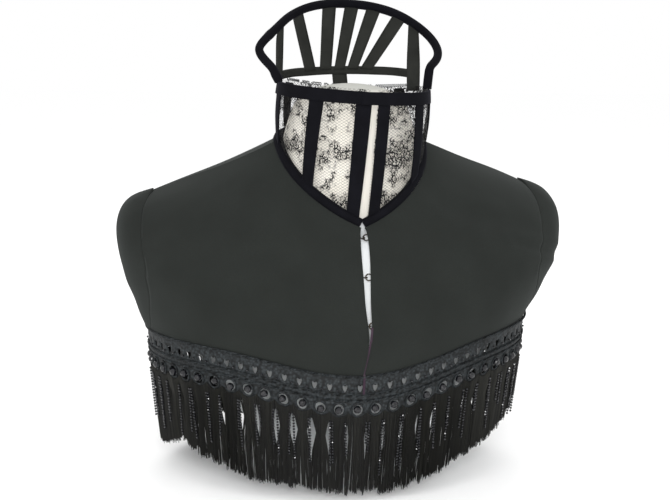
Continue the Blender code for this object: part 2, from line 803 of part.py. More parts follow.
def make_fringe(silk):
    """Tassels of three locks, drawn down from the underside of a narrow strip."""
    chance = random.Random(7)
    edge = front_edge(HEM, LEFT)
    back = math.pi - turn_for(shell_base, HEM, 3.0, GAP)
    for side, word in ((RIGHT, "right"), (LEFT, "left")):
        bounds = even_angles(edge, back, MODULES * LOCKS)
        bm = bmesh.new()
        middle = -HEADING / 2
        half = BACKING_THICKNESS / 2
        ridge = [bm.verts.new(skirt(side * a, BACKING_TOP, middle)) for a in bounds]
        fore = [bm.verts.new(skirt(side * a, BACKING_FOOT, middle + half)) for a in bounds]
        rear = [bm.verts.new(skirt(side * a, BACKING_FOOT, middle - half)) for a in bounds]
        last = len(bounds) - 1
        for i in range(last):
            bm.faces.new((ridge[i], ridge[i + 1], fore[i + 1], fore[i]))
            bm.faces.new((ridge[i + 1], ridge[i], rear[i], rear[i + 1]))
        bm.faces.new((ridge[0], fore[0], rear[0]))
        bm.faces.new((ridge[last], rear[last], fore[last]))
        for m in range(MODULES):
            centre = (bounds[m * LOCKS] + bounds[(m + 1) * LOCKS]) / 2
            reach = turn_for(shell_base, HEM, centre, 1.0)
            sway = chance.uniform(-SWAY, SWAY)
            base_z = table_value(TIPS, "angle_deg", "z", math.degrees(side * centre))
            for k in range(LOCKS):
                i = m * LOCKS + k
                place = k - (LOCKS - 1) / 2
                tip_z = base_z + chance.uniform(-0.4, 1.0) * LENGTH_JITTER
                tip_drop = shell_base(HEM, side * centre).z - tip_z
                top = [fore[i], fore[i + 1], rear[i + 1], rear[i]]
                for drop, spread, wide, deep, shift in (
                    (NECK_DROP, NECK_SPREAD, NECK_HALF, LOCK_DEPTH_NECK, 0.0),
                    (tip_drop, TIP_SPREAD, TIP_HALF, LOCK_DEPTH_TIP, sway),
                ):
                    at = centre + (place * spread + shift) * reach
                    corners = [
                        bm.verts.new(skirt(side * (at + across * wide * reach), drop, middle + depth * deep))
                        for across, depth in ((-1, 1), (1, 1), (1, -1), (-1, -1))
                    ]
                    for a in range(4):
                        b = (a + 1) % 4
                        bm.faces.new((top[a], top[b], corners[b], corners[a]))
                    top = corners
                bm.faces.new(top)
        finish_mesh(f"fringe_{word}", bm, silk)


def main():
    clear_scene()
    collection = bpy.data.collections.new("fringed_cape")
    bpy.context.scene.collection.children.link(collection)
    wool = material("black wool", (0.030, 0.033, 0.031), 0.92)
    velvet = material("black velvet ribbon", (0.010, 0.010, 0.013), 0.85)
    lace = material("black lace", (0.16, 0.15, 0.13), 0.85)
    canvas = material("cream canvas", (0.72, 0.69, 0.62), 0.80)
    steel = material("blued steel", (0.10, 0.10, 0.11), 0.35, 0.9)
    braid = material("black braid", (0.012, 0.012, 0.012), 0.75)
    silk = material("black silk floss", (0.012, 0.012, 0.010), 0.55)
    make_form(canvas)
    make_wool(wool)
    make_collar(lace, velvet)
    make_fan(velvet)
    make_fastenings(steel)
    make_heading(braid)
    make_fringe(silk)


main()
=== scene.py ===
# %% [markdown]
# A black shoulder cape of the 1890s kind stands on a limbless dress form. It has a boned lace collar,
# a fan of wired velvet ribbon behind the neck, and a silk fringe with a beaded openwork heading. The
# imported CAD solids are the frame. This script dresses them, piece by piece, from the form outwards.

# %% Load the frame
import math

import bmesh
import bpy
import numpy as np
from mathutils import Matrix, Vector


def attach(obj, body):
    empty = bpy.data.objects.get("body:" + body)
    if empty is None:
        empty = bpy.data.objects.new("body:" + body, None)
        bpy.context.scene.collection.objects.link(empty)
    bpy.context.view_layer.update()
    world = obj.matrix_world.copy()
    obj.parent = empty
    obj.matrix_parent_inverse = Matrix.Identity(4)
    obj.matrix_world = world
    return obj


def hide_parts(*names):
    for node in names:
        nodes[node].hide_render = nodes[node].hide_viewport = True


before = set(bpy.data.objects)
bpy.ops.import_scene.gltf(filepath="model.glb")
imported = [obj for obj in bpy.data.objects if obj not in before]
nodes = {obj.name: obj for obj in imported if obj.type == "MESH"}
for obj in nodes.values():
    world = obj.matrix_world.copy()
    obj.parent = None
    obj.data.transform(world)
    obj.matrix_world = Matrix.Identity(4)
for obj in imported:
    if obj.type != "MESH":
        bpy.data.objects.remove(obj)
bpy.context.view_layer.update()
scene = bpy.context.scene
MM = 0.001

# %% [markdown]
# The camera comes first, because every later choice is judged through it. A photograph of a thing
# has a distance as well as an angle: the nearer the camera, the more the front swells. So the place
# is given as an angle, a height and a distance, and the lens follows from the size of one pixel.

# %% Place the camera
IMAGE_WIDTH_PX = 670
PIXEL = 0.859 * MM
AZIMUTH_DEG = -10.19
ELEVATION_DEG = 10.83
DISTANCE = 1.228
ROLL_DEG = 1.207
TARGET = Vector((-0.00705, 0.0, 0.1852))
SENSOR_MM = 36.0

azimuth, elevation = math.radians(AZIMUTH_DEG), math.radians(ELEVATION_DEG)
back = Vector((
    math.sin(azimuth) * math.cos(elevation),
    -math.cos(azimuth) * math.cos(elevation),
    math.sin(elevation),
))
lens = bpy.data.cameras.new("camera")
lens.sensor_width = SENSOR_MM
lens.lens = DISTANCE / PIXEL * SENSOR_MM / IMAGE_WIDTH_PX
lens.clip_start = 0.01
camera = bpy.data.objects.new("camera", lens)
scene.collection.objects.link(camera)
camera.location = TARGET + back * DISTANCE
facing = (-back).to_track_quat("-Z", "Y").to_matrix()
camera.rotation_euler = (facing @ Matrix.Rotation(math.radians(ROLL_DEG), 3, "Z")).to_euler()
scene.camera = camera
print("lens, mm:", round(lens.lens, 1))

# %% [markdown]
# A shader works in linear light, and the colours that people pick from a screen are sRGB. One
# function turns the one into the other, and another adds a node with its settings and links, so
# that each material below reads as a short list of what the cloth does.

# %% Colours and nodes
def linear(text):
    """An sRGB hex colour as the linear colour that a shader takes."""
    values = [int(text[i:i + 2], 16) / 255 for i in (0, 2, 4)]
    return (*(v / 12.92 if v <= 0.04045 else ((v + 0.055) / 1.055) ** 2.4 for v in values), 1.0)


def feed(tree, node, inputs):
    """Gives a node's sockets their values, or links them where the value is a socket."""
    for key, value in inputs.items():
        if isinstance(value, bpy.types.NodeSocket):
            tree.links.new(value, node.inputs[key])
        else:
            node.inputs[key].default_value = value


def add(tree, kind, inputs=None, **settings):
    """Adds a node with its settings and links."""
    node = tree.nodes.new(kind)
    for key, value in settings.items():
        setattr(node, key, value)
    feed(tree, node, inputs or {})
    return node


def new_finish(name):
    """An empty material, its tree and its shader."""
    made = bpy.data.materials.new(name)
    made.use_nodes = True
    return made, made.node_tree, made.node_tree.nodes["Principled BSDF"]


# %% [markdown]
# The light is that of a flash photograph on white paper: a white world, a small lamp beside the
# camera and two large soft ones that round the form a little. A flash looks where the camera
# looks, so it lights what shows through a hole, and it puts a glint on every bead. The view is
# plain sRGB, so that white stays white. The floor is pale.

# %% Light and floor
scene.view_settings.view_transform = "Standard"
WORLD_STRENGTH = 1.0
LAMPS = (
    # name, place, size in metres, power in watts
    ("flash", camera.location + Vector((0.03, 0.0, 0.10)), 0.34, 9.5),
    ("key", Vector((-1.0, -1.3, 1.2)), 1.3, 5.0),
    ("back", Vector((0.2, 1.2, 1.2)), 1.0, 6.0),
)
world = bpy.data.worlds.new("white paper")
world.use_nodes = True
feed(world.node_tree, world.node_tree.nodes["Background"], {
    "Color": linear("ffffff"),
    "Strength": WORLD_STRENGTH,
})
scene.world = world
for name, place, size, watts in LAMPS:
    lamp = bpy.data.lights.new(name, "AREA")
    lamp.size = size
    lamp.energy = watts
    holder = bpy.data.objects.new(name, lamp)
    holder.location = place
    holder.rotation_euler = (TARGET - place).to_track_quat("-Z", "Y").to_euler()
    scene.collection.objects.link(holder)

paper, tree, shader = new_finish("matt white paper floor")
coords = add(tree, "ShaderNodeTexCoord").outputs["Object"]
grain = add(tree, "ShaderNodeTexNoise", {"Vector": coords, "Scale": 300.0}).outputs[0]
feed(tree, shader, {
    "Base Color": add(tree, "ShaderNodeMix", {
        0: grain, 6: linear("fdfdfd"), 7: linear("ffffff"),
    }, data_type="RGBA").outputs[2],
    "Roughness": 1.0,
    "Specular IOR Level": 0.0,
})
FLOOR_HALF = 4.0
bm = bmesh.new()
bmesh.ops.create_grid(bm, x_segments=1, y_segments=1, size=FLOOR_HALF)
floor_mesh = bpy.data.meshes.new("floor")
bm.to_mesh(floor_mesh)
bm.free()
floor_mesh.materials.append(paper)
floor = bpy.data.objects.new("floor", floor_mesh)
scene.collection.objects.link(floor)

# %% [markdown]
# The cape is of fulled black wool. Fulling felts the threads together, so no weave shows: the eye
# gets an even charcoal with a slight nap, which catches a little light where it turns away. The
# nap is the sheen, and the felted fibres are a fine bump. They are drawn at 1.1 mm, coarser than
# the real 0.3 mm, so that they don't vanish between pixels.

# %% Finish: fulled black wool
WOOL_FIBRE = 1.1 * MM
WOOL_PATCH = 38 * MM
wool, tree, shader = new_finish("fulled black wool")
coords = add(tree, "ShaderNodeTexCoord").outputs["Object"]
fibre = add(tree, "ShaderNodeTexNoise", {
    "Vector": coords, "Scale": 1 / WOOL_FIBRE, "Detail": 3.0, "Roughness": 0.6,
}).outputs[0]
patch = add(tree, "ShaderNodeTexNoise", {
    "Vector": coords, "Scale": 1 / WOOL_PATCH, "Detail": 2.0,
}).outputs[0]
mottle = add(tree, "ShaderNodeMath", {0: patch, 1: fibre}, operation="MULTIPLY").outputs[0]
feed(tree, shader, {
    "Base Color": add(tree, "ShaderNodeMix", {
        0: mottle, 6: linear("191b19"), 7: linear("282b29"),
    }, data_type="RGBA").outputs[2],
    "Roughness": 0.95,
    "Specular IOR Level": 0.12,
    "Sheen Weight": 0.10,
    "Sheen Roughness": 0.6,
    "Sheen Tint": linear("8f9694"),
    "Normal": add(tree, "ShaderNodeBump", {
        "Height": fibre, "Strength": 0.35, "Distance": 0.25 * MM,
    }).outputs[0],
})

# %% [markdown]
# Velvet ribbon binds the neck and covers the bones and the fan. Its short pile swallows light that
# falls straight on it and gives a little back at the edges, so it is blacker than the wool in the
# middle and slightly blue at its turns. Real pile is too fine to see, and is drawn at 0.7 mm.

# %% Finish: black velvet ribbon
PILE = 0.7 * MM
velvet, tree, shader = new_finish("black velvet ribbon")
coords = add(tree, "ShaderNodeTexCoord").outputs["Object"]
pile = add(tree, "ShaderNodeTexNoise", {
    "Vector": coords, "Scale": 1 / PILE, "Detail": 2.0,
}).outputs[0]
worn = add(tree, "ShaderNodeTexNoise", {
    "Vector": coords, "Scale": 1 / (14 * MM), "Detail": 3.0,
}).outputs[0]
feed(tree, shader, {
    "Base Color": add(tree, "ShaderNodeMix", {
        0: worn, 6: linear("060608"), 7: linear("101015"),
    }, data_type="RGBA").outputs[2],
    "Roughness": 0.9,
    "Specular IOR Level": 0.06,
    "Sheen Weight": 0.10,
    "Sheen Roughness": 0.35,
    "Sheen Tint": linear("6c6c80"),
    "Normal": add(tree, "ShaderNodeBump", {
        "Height": pile, "Strength": 0.5, "Distance": 0.3 * MM,
    }).outputs[0],
})

# %% [markdown]
# The bars of the fan and its foot are of an older, flatter ribbon: grosgrain, a silk with fine ribs
# across, which has faded to a greenish charcoal. It is matt, and a little lighter than velvet.

# %% Finish: faded grosgrain ribbon
GROSGRAIN_RIB = 1.0 * MM
WAVE_AT_SCALE_ONE = math.pi / 10
grosgrain, tree, shader = new_finish("faded black grosgrain ribbon")
coords = add(tree, "ShaderNodeTexCoord").outputs["Object"]
ribs = add(tree, "ShaderNodeTexWave", {
    "Vector": coords, "Scale": WAVE_AT_SCALE_ONE / GROSGRAIN_RIB, "Distortion": 0.3,
}, bands_direction="Z").outputs["Fac"]
faded = add(tree, "ShaderNodeTexNoise", {
    "Vector": coords, "Scale": 1 / (12 * MM), "Detail": 3.0,
}).outputs[0]
feed(tree, shader, {
    "Base Color": add(tree, "ShaderNodeMix", {
        0: faded, 6: linear("171816"), 7: linear("292a27"),
    }, data_type="RGBA").outputs[2],
    "Roughness": 0.75,
    "Specular IOR Level": 0.12,
    "Normal": add(tree, "ShaderNodeBump", {
        "Height": ribs, "Strength": 0.3, "Distance": 0.2 * MM,
    }).outputs[0],
})

# %% [markdown]
# The dress form is covered in cream cotton canvas. A plain weave is two sets of threads that cross,
# so two wave textures at right angles, multiplied, give its little squares. Cotton is matt, and it
# yellows slightly in patches. The neck is the creamiest part, and the body's cover is cooler. The
# neck cap is painted greyer from its seam up, and that grey is painted shade on the dome.

# %% Finish: cream cotton canvas
CANVAS_THREAD = 1.2 * MM
CAP_SEAM_Z = 0.322
NECK_SEAM_Z = 0.226
canvas, tree, shader = new_finish("cream cotton canvas")
coords = add(tree, "ShaderNodeTexCoord").outputs["Object"]
threads = [
    add(tree, "ShaderNodeTexWave", {
        "Vector": coords, "Scale": WAVE_AT_SCALE_ONE / CANVAS_THREAD, "Distortion": 0.4,
    }, bands_direction=way).outputs["Fac"]
    for way in ("X", "Z")
]
weave = add(tree, "ShaderNodeMath", {0: threads[0], 1: threads[1]}, operation="MULTIPLY").outputs[0]
aged = add(tree, "ShaderNodeTexNoise", {
    "Vector": coords, "Scale": 1 / (30 * MM), "Detail": 4.0,
}).outputs[0]
cream = add(tree, "ShaderNodeMix", {
    0: aged, 6: linear("e0dacc"), 7: linear("f1eee8"),
}, data_type="RGBA").outputs[2]
up = add(tree, "ShaderNodeSeparateXYZ", {0: coords}).outputs["Z"]
# Painted shade: above the cap seam the canvas is painted grey, which darkens the dome.
cap_painted_shade = add(tree, "ShaderNodeMapRange", {
    "Value": up, "From Min": CAP_SEAM_Z, "From Max": CAP_SEAM_Z + 4 * MM,
}).outputs[0]
on_neck = add(tree, "ShaderNodeMapRange", {
    "Value": up, "From Min": NECK_SEAM_Z - 4 * MM, "From Max": NECK_SEAM_Z,
}).outputs[0]
body = add(tree, "ShaderNodeMix", {
    0: on_neck, 6: linear("e2e5e6"), 7: cream,
}, data_type="RGBA").outputs[2]
feed(tree, shader, {
    "Base Color": add(tree, "ShaderNodeMix", {
        0: cap_painted_shade, 6: body, 7: linear("b2b2ac"),
    }, data_type="RGBA").outputs[2],
    "Roughness": 0.85,
    "Specular IOR Level": 0.3,
    "Normal": add(tree, "ShaderNodeBump", {
        "Height": weave, "Strength": 0.3, "Distance": 0.2 * MM,
    }).outputs[0],
})

# %% [markdown]
# Silk floss is a bundle of hair-fine filaments with hardly any twist. Light runs along it in soft
# streaks, and no two strands are quite the same black. Each strand carries a number of its own,
# its tone, which was stored on its corners when it was made. Along each strand the tone is also
# painted lighter at the tassel's head and darker down the curtain, a painted highlight on the heads.

# %% Finish: black silk floss
floss, tree, shader = new_finish("black silk floss")
tone = add(tree, "ShaderNodeAttribute", attribute_name="tone").outputs["Fac"]
feed(tree, shader, {
    "Base Color": add(tree, "ShaderNodeMix", {
        0: tone, 6: linear("050504"), 7: linear("24241f"),
    }, data_type="RGBA").outputs[2],
    "Roughness": 0.55,
    "Specular IOR Level": 0.25,
    "Anisotropic": 0.4,
    "Sheen Weight": 0.05,
})

# %% [markdown]
# The heading of the fringe is crocheted from the same silk round a cord. Its stitches are small
# round knots with hollows between them, which a Voronoi texture draws: near a cell's middle is a
# knot, near its edge a hollow. The same relief also paints the colour: painted shade in the hollows
# and a painted highlight on each knot, over a slate a little greyer than the tassels. A stitch is
# drawn at 2.2 mm, half as large again as a real one.

# %% Finish: crocheted silk gimp
STITCH = 2.2 * MM
gimp, tree, shader = new_finish("crocheted silk gimp")
coords = add(tree, "ShaderNodeTexCoord").outputs["Object"]
from_knot = add(tree, "ShaderNodeTexVoronoi", {"Vector": coords, "Scale": 1 / STITCH}).outputs["Distance"]
knot = add(tree, "ShaderNodeMapRange", {
    "Value": from_knot, "From Min": 0.15, "From Max": 0.75, "To Min": 1.0, "To Max": 0.0,
}).outputs[0]
worn = add(tree, "ShaderNodeTexNoise", {
    "Vector": coords, "Scale": 1 / (5 * MM), "Detail": 3.0,
}).outputs[0]
# Painted light: this relief darkens the hollows and lightens the knots in the colour, as well as in the bump.
relief_and_painted_light = add(tree, "ShaderNodeMath", {0: knot, 1: worn}, operation="MULTIPLY").outputs[0]
feed(tree, shader, {
    "Base Color": add(tree, "ShaderNodeMix", {
        0: relief_and_painted_light, 6: linear("0a0c0d"), 7: linear("3a4043"),
    }, data_type="RGBA").outputs[2],
    "Roughness": 0.6,
    "Specular IOR Level": 0.22,
    "Normal": add(tree, "ShaderNodeBump", {
        "Height": relief_and_painted_light, "Strength": 0.8, "Distance": 0.4 * MM,
    }).outputs[0],
})

# %% [markdown]
# Jet beads are cut and polished. They are nearly black, and all that the eye gets is a bright glint
# where a facet happens to face the flash. The hooks are japanned steel, which wears to bare metal
# at its bends. The front edges are faced with plum silk, a thin line of colour in the opening.

# %% Finish: cut jet, worn japanned hooks and plum silk
jet, tree, shader = new_finish("cut and polished jet")
coords = add(tree, "ShaderNodeTexCoord").outputs["Object"]
cloud = add(tree, "ShaderNodeTexNoise", {"Vector": coords, "Scale": 1 / (6 * MM)}).outputs[0]
feed(tree, shader, {
    "Base Color": add(tree, "ShaderNodeMix", {
        0: cloud, 6: linear("08080a"), 7: linear("16171c"),
    }, data_type="RGBA").outputs[2],
    "Roughness": 0.08,
    "Specular IOR Level": 0.5,
})
plum, tree, shader = new_finish("plum silk facing")
coords = add(tree, "ShaderNodeTexCoord").outputs["Object"]
slub = add(tree, "ShaderNodeTexNoise", {
    "Vector": coords, "Scale": 1 / (3 * MM), "Detail": 2.0,
}).outputs[0]
feed(tree, shader, {
    "Base Color": add(tree, "ShaderNodeMix", {
        0: slub, 6: linear("1c0f19"), 7: linear("352232"),
    }, data_type="RGBA").outputs[2],
    "Roughness": 0.45,
    "Specular IOR Level": 0.2,
})
hook_metal, tree, shader = new_finish("worn japanned hooks")
coords = add(tree, "ShaderNodeTexCoord").outputs["Object"]
rubbed = add(tree, "ShaderNodeTexNoise", {
    "Vector": coords, "Scale": 1 / (2 * MM), "Detail": 2.0,
}).outputs[0]
feed(tree, shader, {
    "Base Color": add(tree, "ShaderNodeMix", {
        0: rubbed, 6: linear("0f0e0d"), 7: linear("4d4334"),
    }, data_type="RGBA").outputs[2],
    "Metallic": 0.8,
    "Roughness": 0.35,
})

# %% [markdown]
# The collar is of black lace. Its ground is an open net of crossed threads, and on it lie sprays of
# close stitches with a dark outline. The pattern follows the cloth and not the room, so it reads
# the lace's own flat map, in metres round and up. A spray is where cells of a Voronoi texture meet
# a cloudy mask. The mask is heavier in three bands, across the middle and along both edges, and on
# the left half. What isn't thread is clear. The real net is finer, and would vanish between pixels.

# %% Finish: black lace
NET_MESH = 2.0 * MM
NET_THREAD_SHARE = 0.04
NET_LEAN_DEG = 58
SPRAY_CELL = 3.6 * MM
SPRAY_CLOUD = 11 * MM
SPRAY_BANDS = (
    # middle height, half height, extra weight
    (0.0570, 0.0150, 0.17),
    (0.0180, 0.0130, 0.13),
    (0.0960, 0.0170, 0.15),
)
lace, tree, shader = new_finish("black lace")
flat_map = add(tree, "ShaderNodeUVMap", uv_map="lace_flat").outputs[0]
threads = []
for lean in (NET_LEAN_DEG, -NET_LEAN_DEG):
    across = (math.cos(math.radians(lean)) / NET_MESH, math.sin(math.radians(lean)) / NET_MESH, 0.0)
    place = add(tree, "ShaderNodeVectorMath", {0: flat_map, 1: across}, operation="DOT_PRODUCT").outputs["Value"]
    fold = add(tree, "ShaderNodeMath", {0: place, 1: 0.5}, operation="PINGPONG").outputs[0]
    threads.append(add(tree, "ShaderNodeMath", {0: fold, 1: NET_THREAD_SHARE}, operation="LESS_THAN").outputs[0])
net = add(tree, "ShaderNodeMath", {0: threads[0], 1: threads[1]}, operation="MAXIMUM").outputs[0]
cloud = add(tree, "ShaderNodeTexNoise", {
    "Vector": flat_map, "Scale": 1 / SPRAY_CLOUD, "Detail": 2.0, "Roughness": 0.6,
}, noise_dimensions="2D").outputs[0]
parts = add(tree, "ShaderNodeSeparateXYZ", {0: flat_map})
round_way, height = parts.outputs["X"], parts.outputs["Y"]
left_weight = add(tree, "ShaderNodeMapRange", {
    "Value": round_way, "From Min": 8 * MM, "From Max": 16 * MM, "To Min": 0.0, "To Max": 0.07,
}).outputs[0]
weight = add(tree, "ShaderNodeMath", {0: cloud, 1: left_weight}, operation="ADD").outputs[0]
for middle, half, extra in SPRAY_BANDS:
    off_band = add(tree, "ShaderNodeMath", {0: height, 1: middle}, operation="SUBTRACT").outputs[0]
    off_band = add(tree, "ShaderNodeMath", {0: off_band}, operation="ABSOLUTE").outputs[0]
    in_band = add(tree, "ShaderNodeMapRange", {
        "Value": off_band, "From Min": 0.0, "From Max": half, "To Min": extra, "To Max": 0.0,
    }).outputs[0]
    weight = add(tree, "ShaderNodeMath", {0: weight, 1: in_band}, operation="ADD").outputs[0]
spray = add(tree, "ShaderNodeMapRange", {
    "Value": weight, "From Min": 0.53, "From Max": 0.66,
}).outputs[0]
upright = add(tree, "ShaderNodeMapping", {"Vector": flat_map, "Scale": (1.0, 0.62, 1.0)}).outputs[0]
cells = add(tree, "ShaderNodeTexVoronoi", {
    "Vector": upright, "Scale": 1 / SPRAY_CELL, "Randomness": 0.95,
}, voronoi_dimensions="2D", feature="DISTANCE_TO_EDGE").outputs["Distance"]
outline = add(tree, "ShaderNodeMath", {0: cells, 1: 0.09}, operation="LESS_THAN").outputs[0]
stitches = add(tree, "ShaderNodeTexVoronoi", {
    "Vector": upright, "Scale": 1 / (1.1 * MM),
}, voronoi_dimensions="2D").outputs["Distance"]
close = add(tree, "ShaderNodeMath", {0: stitches, 1: 0.36}, operation="LESS_THAN").outputs[0]
leaf = add(tree, "ShaderNodeMath", {0: outline, 1: close}, operation="MAXIMUM").outputs[0]
leaf = add(tree, "ShaderNodeMath", {0: leaf, 1: spray}, operation="MULTIPLY").outputs[0]
feed(tree, shader, {
    "Base Color": add(tree, "ShaderNodeMix", {
        0: leaf, 6: linear("1a1917"), 7: linear("0b0b0c"),
    }, data_type="RGBA").outputs[2],
    "Alpha": add(tree, "ShaderNodeMath", {0: net, 1: leaf}, operation="MAXIMUM").outputs[0],
    "Roughness": 0.7,
    "Specular IOR Level": 0.2,
})

# %% [markdown]
# A CAD node's mesh is a heap of loose triangles, so a copy of it is merged before it is refined.
# Merging also turns pairs of triangles back into the four-sided faces that subdivision likes. The
# sharp rims of a cloth wall get a crease, which keeps them crisp while the wall turns smooth.

# %% Helpers: take a CAD skin and refine it
MERGE = 0.02 * MM
RIM_DEG = 45


def skin(*names):
    """A bmesh of CAD nodes, merged into four-sided faces with their rims creased."""
    bm = bmesh.new()
    for name in names:
        bm.from_mesh(nodes[name].data)
    bmesh.ops.remove_doubles(bm, verts=bm.verts, dist=MERGE)
    bmesh.ops.join_triangles(
        bm, faces=bm.faces, angle_face_threshold=math.radians(35), angle_shape_threshold=math.radians(70),
    )
    crease = bm.edges.layers.float.new("crease_edge")
    for edge in bm.edges:
        if edge.is_manifold and edge.calc_face_angle(0.0) > math.radians(RIM_DEG):
            edge[crease] = 1.0
    return bm


def to_mesh(bm, name):
    mesh = bpy.data.meshes.new(name)
    bm.to_mesh(mesh)
    bm.free()
    return mesh


def with_modifiers(mesh, *steps):
    """The mesh after modifiers, each given as its kind and its settings."""
    holder = bpy.data.objects.new(mesh.name, mesh)
    scene.collection.objects.link(holder)
    for kind, settings in steps:
        step = holder.modifiers.new(kind.lower(), kind)
        for key, value in settings.items():
            setattr(step, key, value)
    bpy.context.view_layer.update()
    shaped = holder.evaluated_get(bpy.context.evaluated_depsgraph_get())
    made = bpy.data.meshes.new_from_object(shaped)
    bpy.data.objects.remove(holder)
    return made


def subdivided(mesh, levels):
    return with_modifiers(mesh, ("SUBSURF", {"levels": levels, "render_levels": levels}))


def grown(bm, amount):
    """Moves a closed skin outwards."""
    bm.normal_update()
    ways = [corner.normal * amount for corner in bm.verts]
    for corner, way in zip(bm.verts, ways):
        corner.co += way
    return bm


def lengthened(bm, reach, way=None):
    """Lengthens a straight piece at both ends, along the way given or its own longest way."""
    places = np.array([corner.co[:] for corner in bm.verts])
    places -= places.mean(axis=0)
    way = way or Vector(np.linalg.svd(places, full_matrices=False)[2][0])
    along = places @ np.array(way)
    for corner, place in zip(bm.verts, along):
        if abs(place) > 0.6 * np.abs(along).max():
            corner.co += way * math.copysign(reach, place)
    return bm


def points_of(mesh):
    """The mesh's corners as an array, a row each."""
    flat = np.empty(len(mesh.vertices) * 3)
    mesh.vertices.foreach_get("co", flat)
    return flat.reshape(-1, 3)


def add_piece(name, mesh, finish, replaces=(), sharp_deg=50):
    """A finished piece, at the origin, riding on the frame's one body."""
    mesh.materials.clear()
    mesh.materials.append(finish)
    mesh.shade_smooth()
    mesh.set_sharp_from_angle(angle=math.radians(sharp_deg))
    piece = bpy.data.objects.new(name, mesh)
    scene.collection.objects.link(piece)
    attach(piece, "root")
    if replaces:
        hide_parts(*replaces)
    triangles = sum(len(face.vertices) - 2 for face in mesh.polygons)
    print(f"{name}: {triangles} triangles")
    return piece


# %% [markdown]
# The dress form is a firm padded torso with a domed neck cap. Its solid is already smooth and only
# needs rounder steps, so it is subdivided twice. It shows in the opening, through the lace and
# above the collar.

# %% The dress form
form_mesh = subdivided(to_mesh(skin("dress_form"), "form_cover"), 2)
form = add_piece("form_cover", form_mesh, canvas, ["dress_form"])

# %% [markdown]
# Five panels of wool make the cape: two fronts, a puffed panel on each shoulder, and the back. Wool
# of this weight hangs with few creases, but it drags in long shallow lines from the neck towards the
# shoulders, and it dents below the shoulder seams. Each line is a row of a table, from one place
# to another by angle and height, with a width and a depth, and it fades towards its ends. The wall's
# two faces move together, so that the cloth keeps its thickness.

# %% The creases of the wool
CREASES = (
    # from angle, height, to angle, height, half width, depth
    (-72, 0.240, -34, 0.196, 0.0080, 0.0010),
    (-58, 0.236, -18, 0.172, 0.0095, 0.0009),
    (-80, 0.215, -40, 0.150, 0.0110, 0.0010),
    (-38, 0.150, -14, 0.128, 0.0090, 0.0006),
    (30, 0.222, 60, 0.172, 0.0100, 0.0010),
    (16, 0.196, 50, 0.146, 0.0090, 0.0009),
    (44, 0.236, 72, 0.212, 0.0080, 0.0009),
    (20, 0.140, 44, 0.134, 0.0090, 0.0006),
    (64, 0.200, 86, 0.182, 0.0042, 0.0018),
    (70, 0.176, 92, 0.150, 0.0080, 0.0009),
    (-66, 0.196, -88, 0.172, 0.0070, 0.0010),
    (-74, 0.160, -96, 0.142, 0.0080, 0.0008),
    (112, 0.232, 150, 0.180, 0.0090, 0.0010),
    (128, 0.190, 165, 0.150, 0.0100, 0.0009),
    (-112, 0.230, -146, 0.176, 0.0090, 0.0011),
    (-132, 0.176, -168, 0.140, 0.0100, 0.0009),
    (176, 0.250, 172, 0.170, 0.0110, 0.0008),
)
SWELL = np.array((0.19, 0.12, 0.17))
SWELL_FOOT = 0.12
ARM_REACH = 0.15


def outward(points):
    """The way out of the body at each point, as on an egg of the shoulders' size."""
    ways = points / SWELL**2
    ways[:, 2] = np.maximum(points[:, 2] - SWELL_FOOT, 0.0) / SWELL[2]**2
    return ways / np.linalg.norm(ways, axis=1)[:, None]


def creased(mesh):
    """Presses the table's creases into a wool panel."""
    points = points_of(mesh)
    angle = np.arctan2(points[:, 0], -points[:, 1])
    depth = np.zeros(len(points))
    for from_deg, from_z, to_deg, to_z, half, deep in CREASES:
        start = np.array((math.radians(from_deg) * ARM_REACH, from_z))
        end = np.array((math.radians(to_deg) * ARM_REACH, to_z))
        middle = (start[0] + end[0]) / 2 / ARM_REACH
        near = (angle - middle + math.pi) % (2 * math.pi) - math.pi + middle
        flat = np.column_stack((near * ARM_REACH, points[:, 2]))
        along = np.clip((flat - start) @ (end - start) / np.dot(end - start, end - start), 0, 1)
        apart = np.linalg.norm(flat - start - along[:, None] * (end - start), axis=1)
        fade = np.sin(np.pi * (0.08 + 0.84 * along)) ** 0.8
        trough = np.exp(-((apart / half) ** 2)) - 0.55 * np.exp(-(((apart - 1.9 * half) / half) ** 2))
        depth += deep * fade * trough
    points -= outward(points) * depth[:, None]
    mesh.vertices.foreach_set("co", points.ravel())
    mesh.update()
    return mesh


# %% [markdown]
# Three seams meet at the top of each shoulder panel. A seamstress carries the point on under the
# other two, so that no hole is left, and the same is done here before the panel is refined.

# %% Make the wool panels
WOOL_LEVELS = 3
POINT_REACH = 5.5 * MM
POINT_SPAN = 10 * MM
POINT_SINK = 2.4 * MM


def drawn_out(bm):
    """Draws the top point of a shoulder panel out along the cloth, and a little under it."""
    point = max((corner.co for corner in bm.verts), key=lambda place: place.z).copy()
    middle = sum((corner.co for corner in bm.verts), Vector()) / len(bm.verts)
    out = Vector(outward(np.array([point]))[0])
    reach = point - middle
    reach -= out * reach.dot(out)
    for corner in bm.verts:
        near = 1 - (corner.co - point).length / POINT_SPAN
        if near > 0:
            corner.co += (reach.normalized() * POINT_REACH - out * POINT_SINK) * near
    return bm


wool_pieces = {}
for panel in ("front_right", "front_left", "side_right", "side_left", "back"):
    bm = drawn_out(skin(panel)) if panel.startswith("side") else skin(panel)
    cloth = creased(subdivided(to_mesh(bm, panel), WOOL_LEVELS))
    wool_pieces[panel] = add_piece(f"wool_{panel}", cloth, wool, [panel])
    cut = sum(face.area for face in cloth.polygons) / 2
    print(f"  cut of {panel}: {cut:.4f} square metres")

# %% [markdown]
# The bindings, the ribbons over the bones and the bands are of velvet. Their solids have the right
# paths and widths, but they stand a hair apart, as solids in one frame must. Cloth is sewn down, so
# the rolls and bands are plumped a little, and the ribbons' ends are carried on under them. At the
# front the left end of the top band laps over the right one.

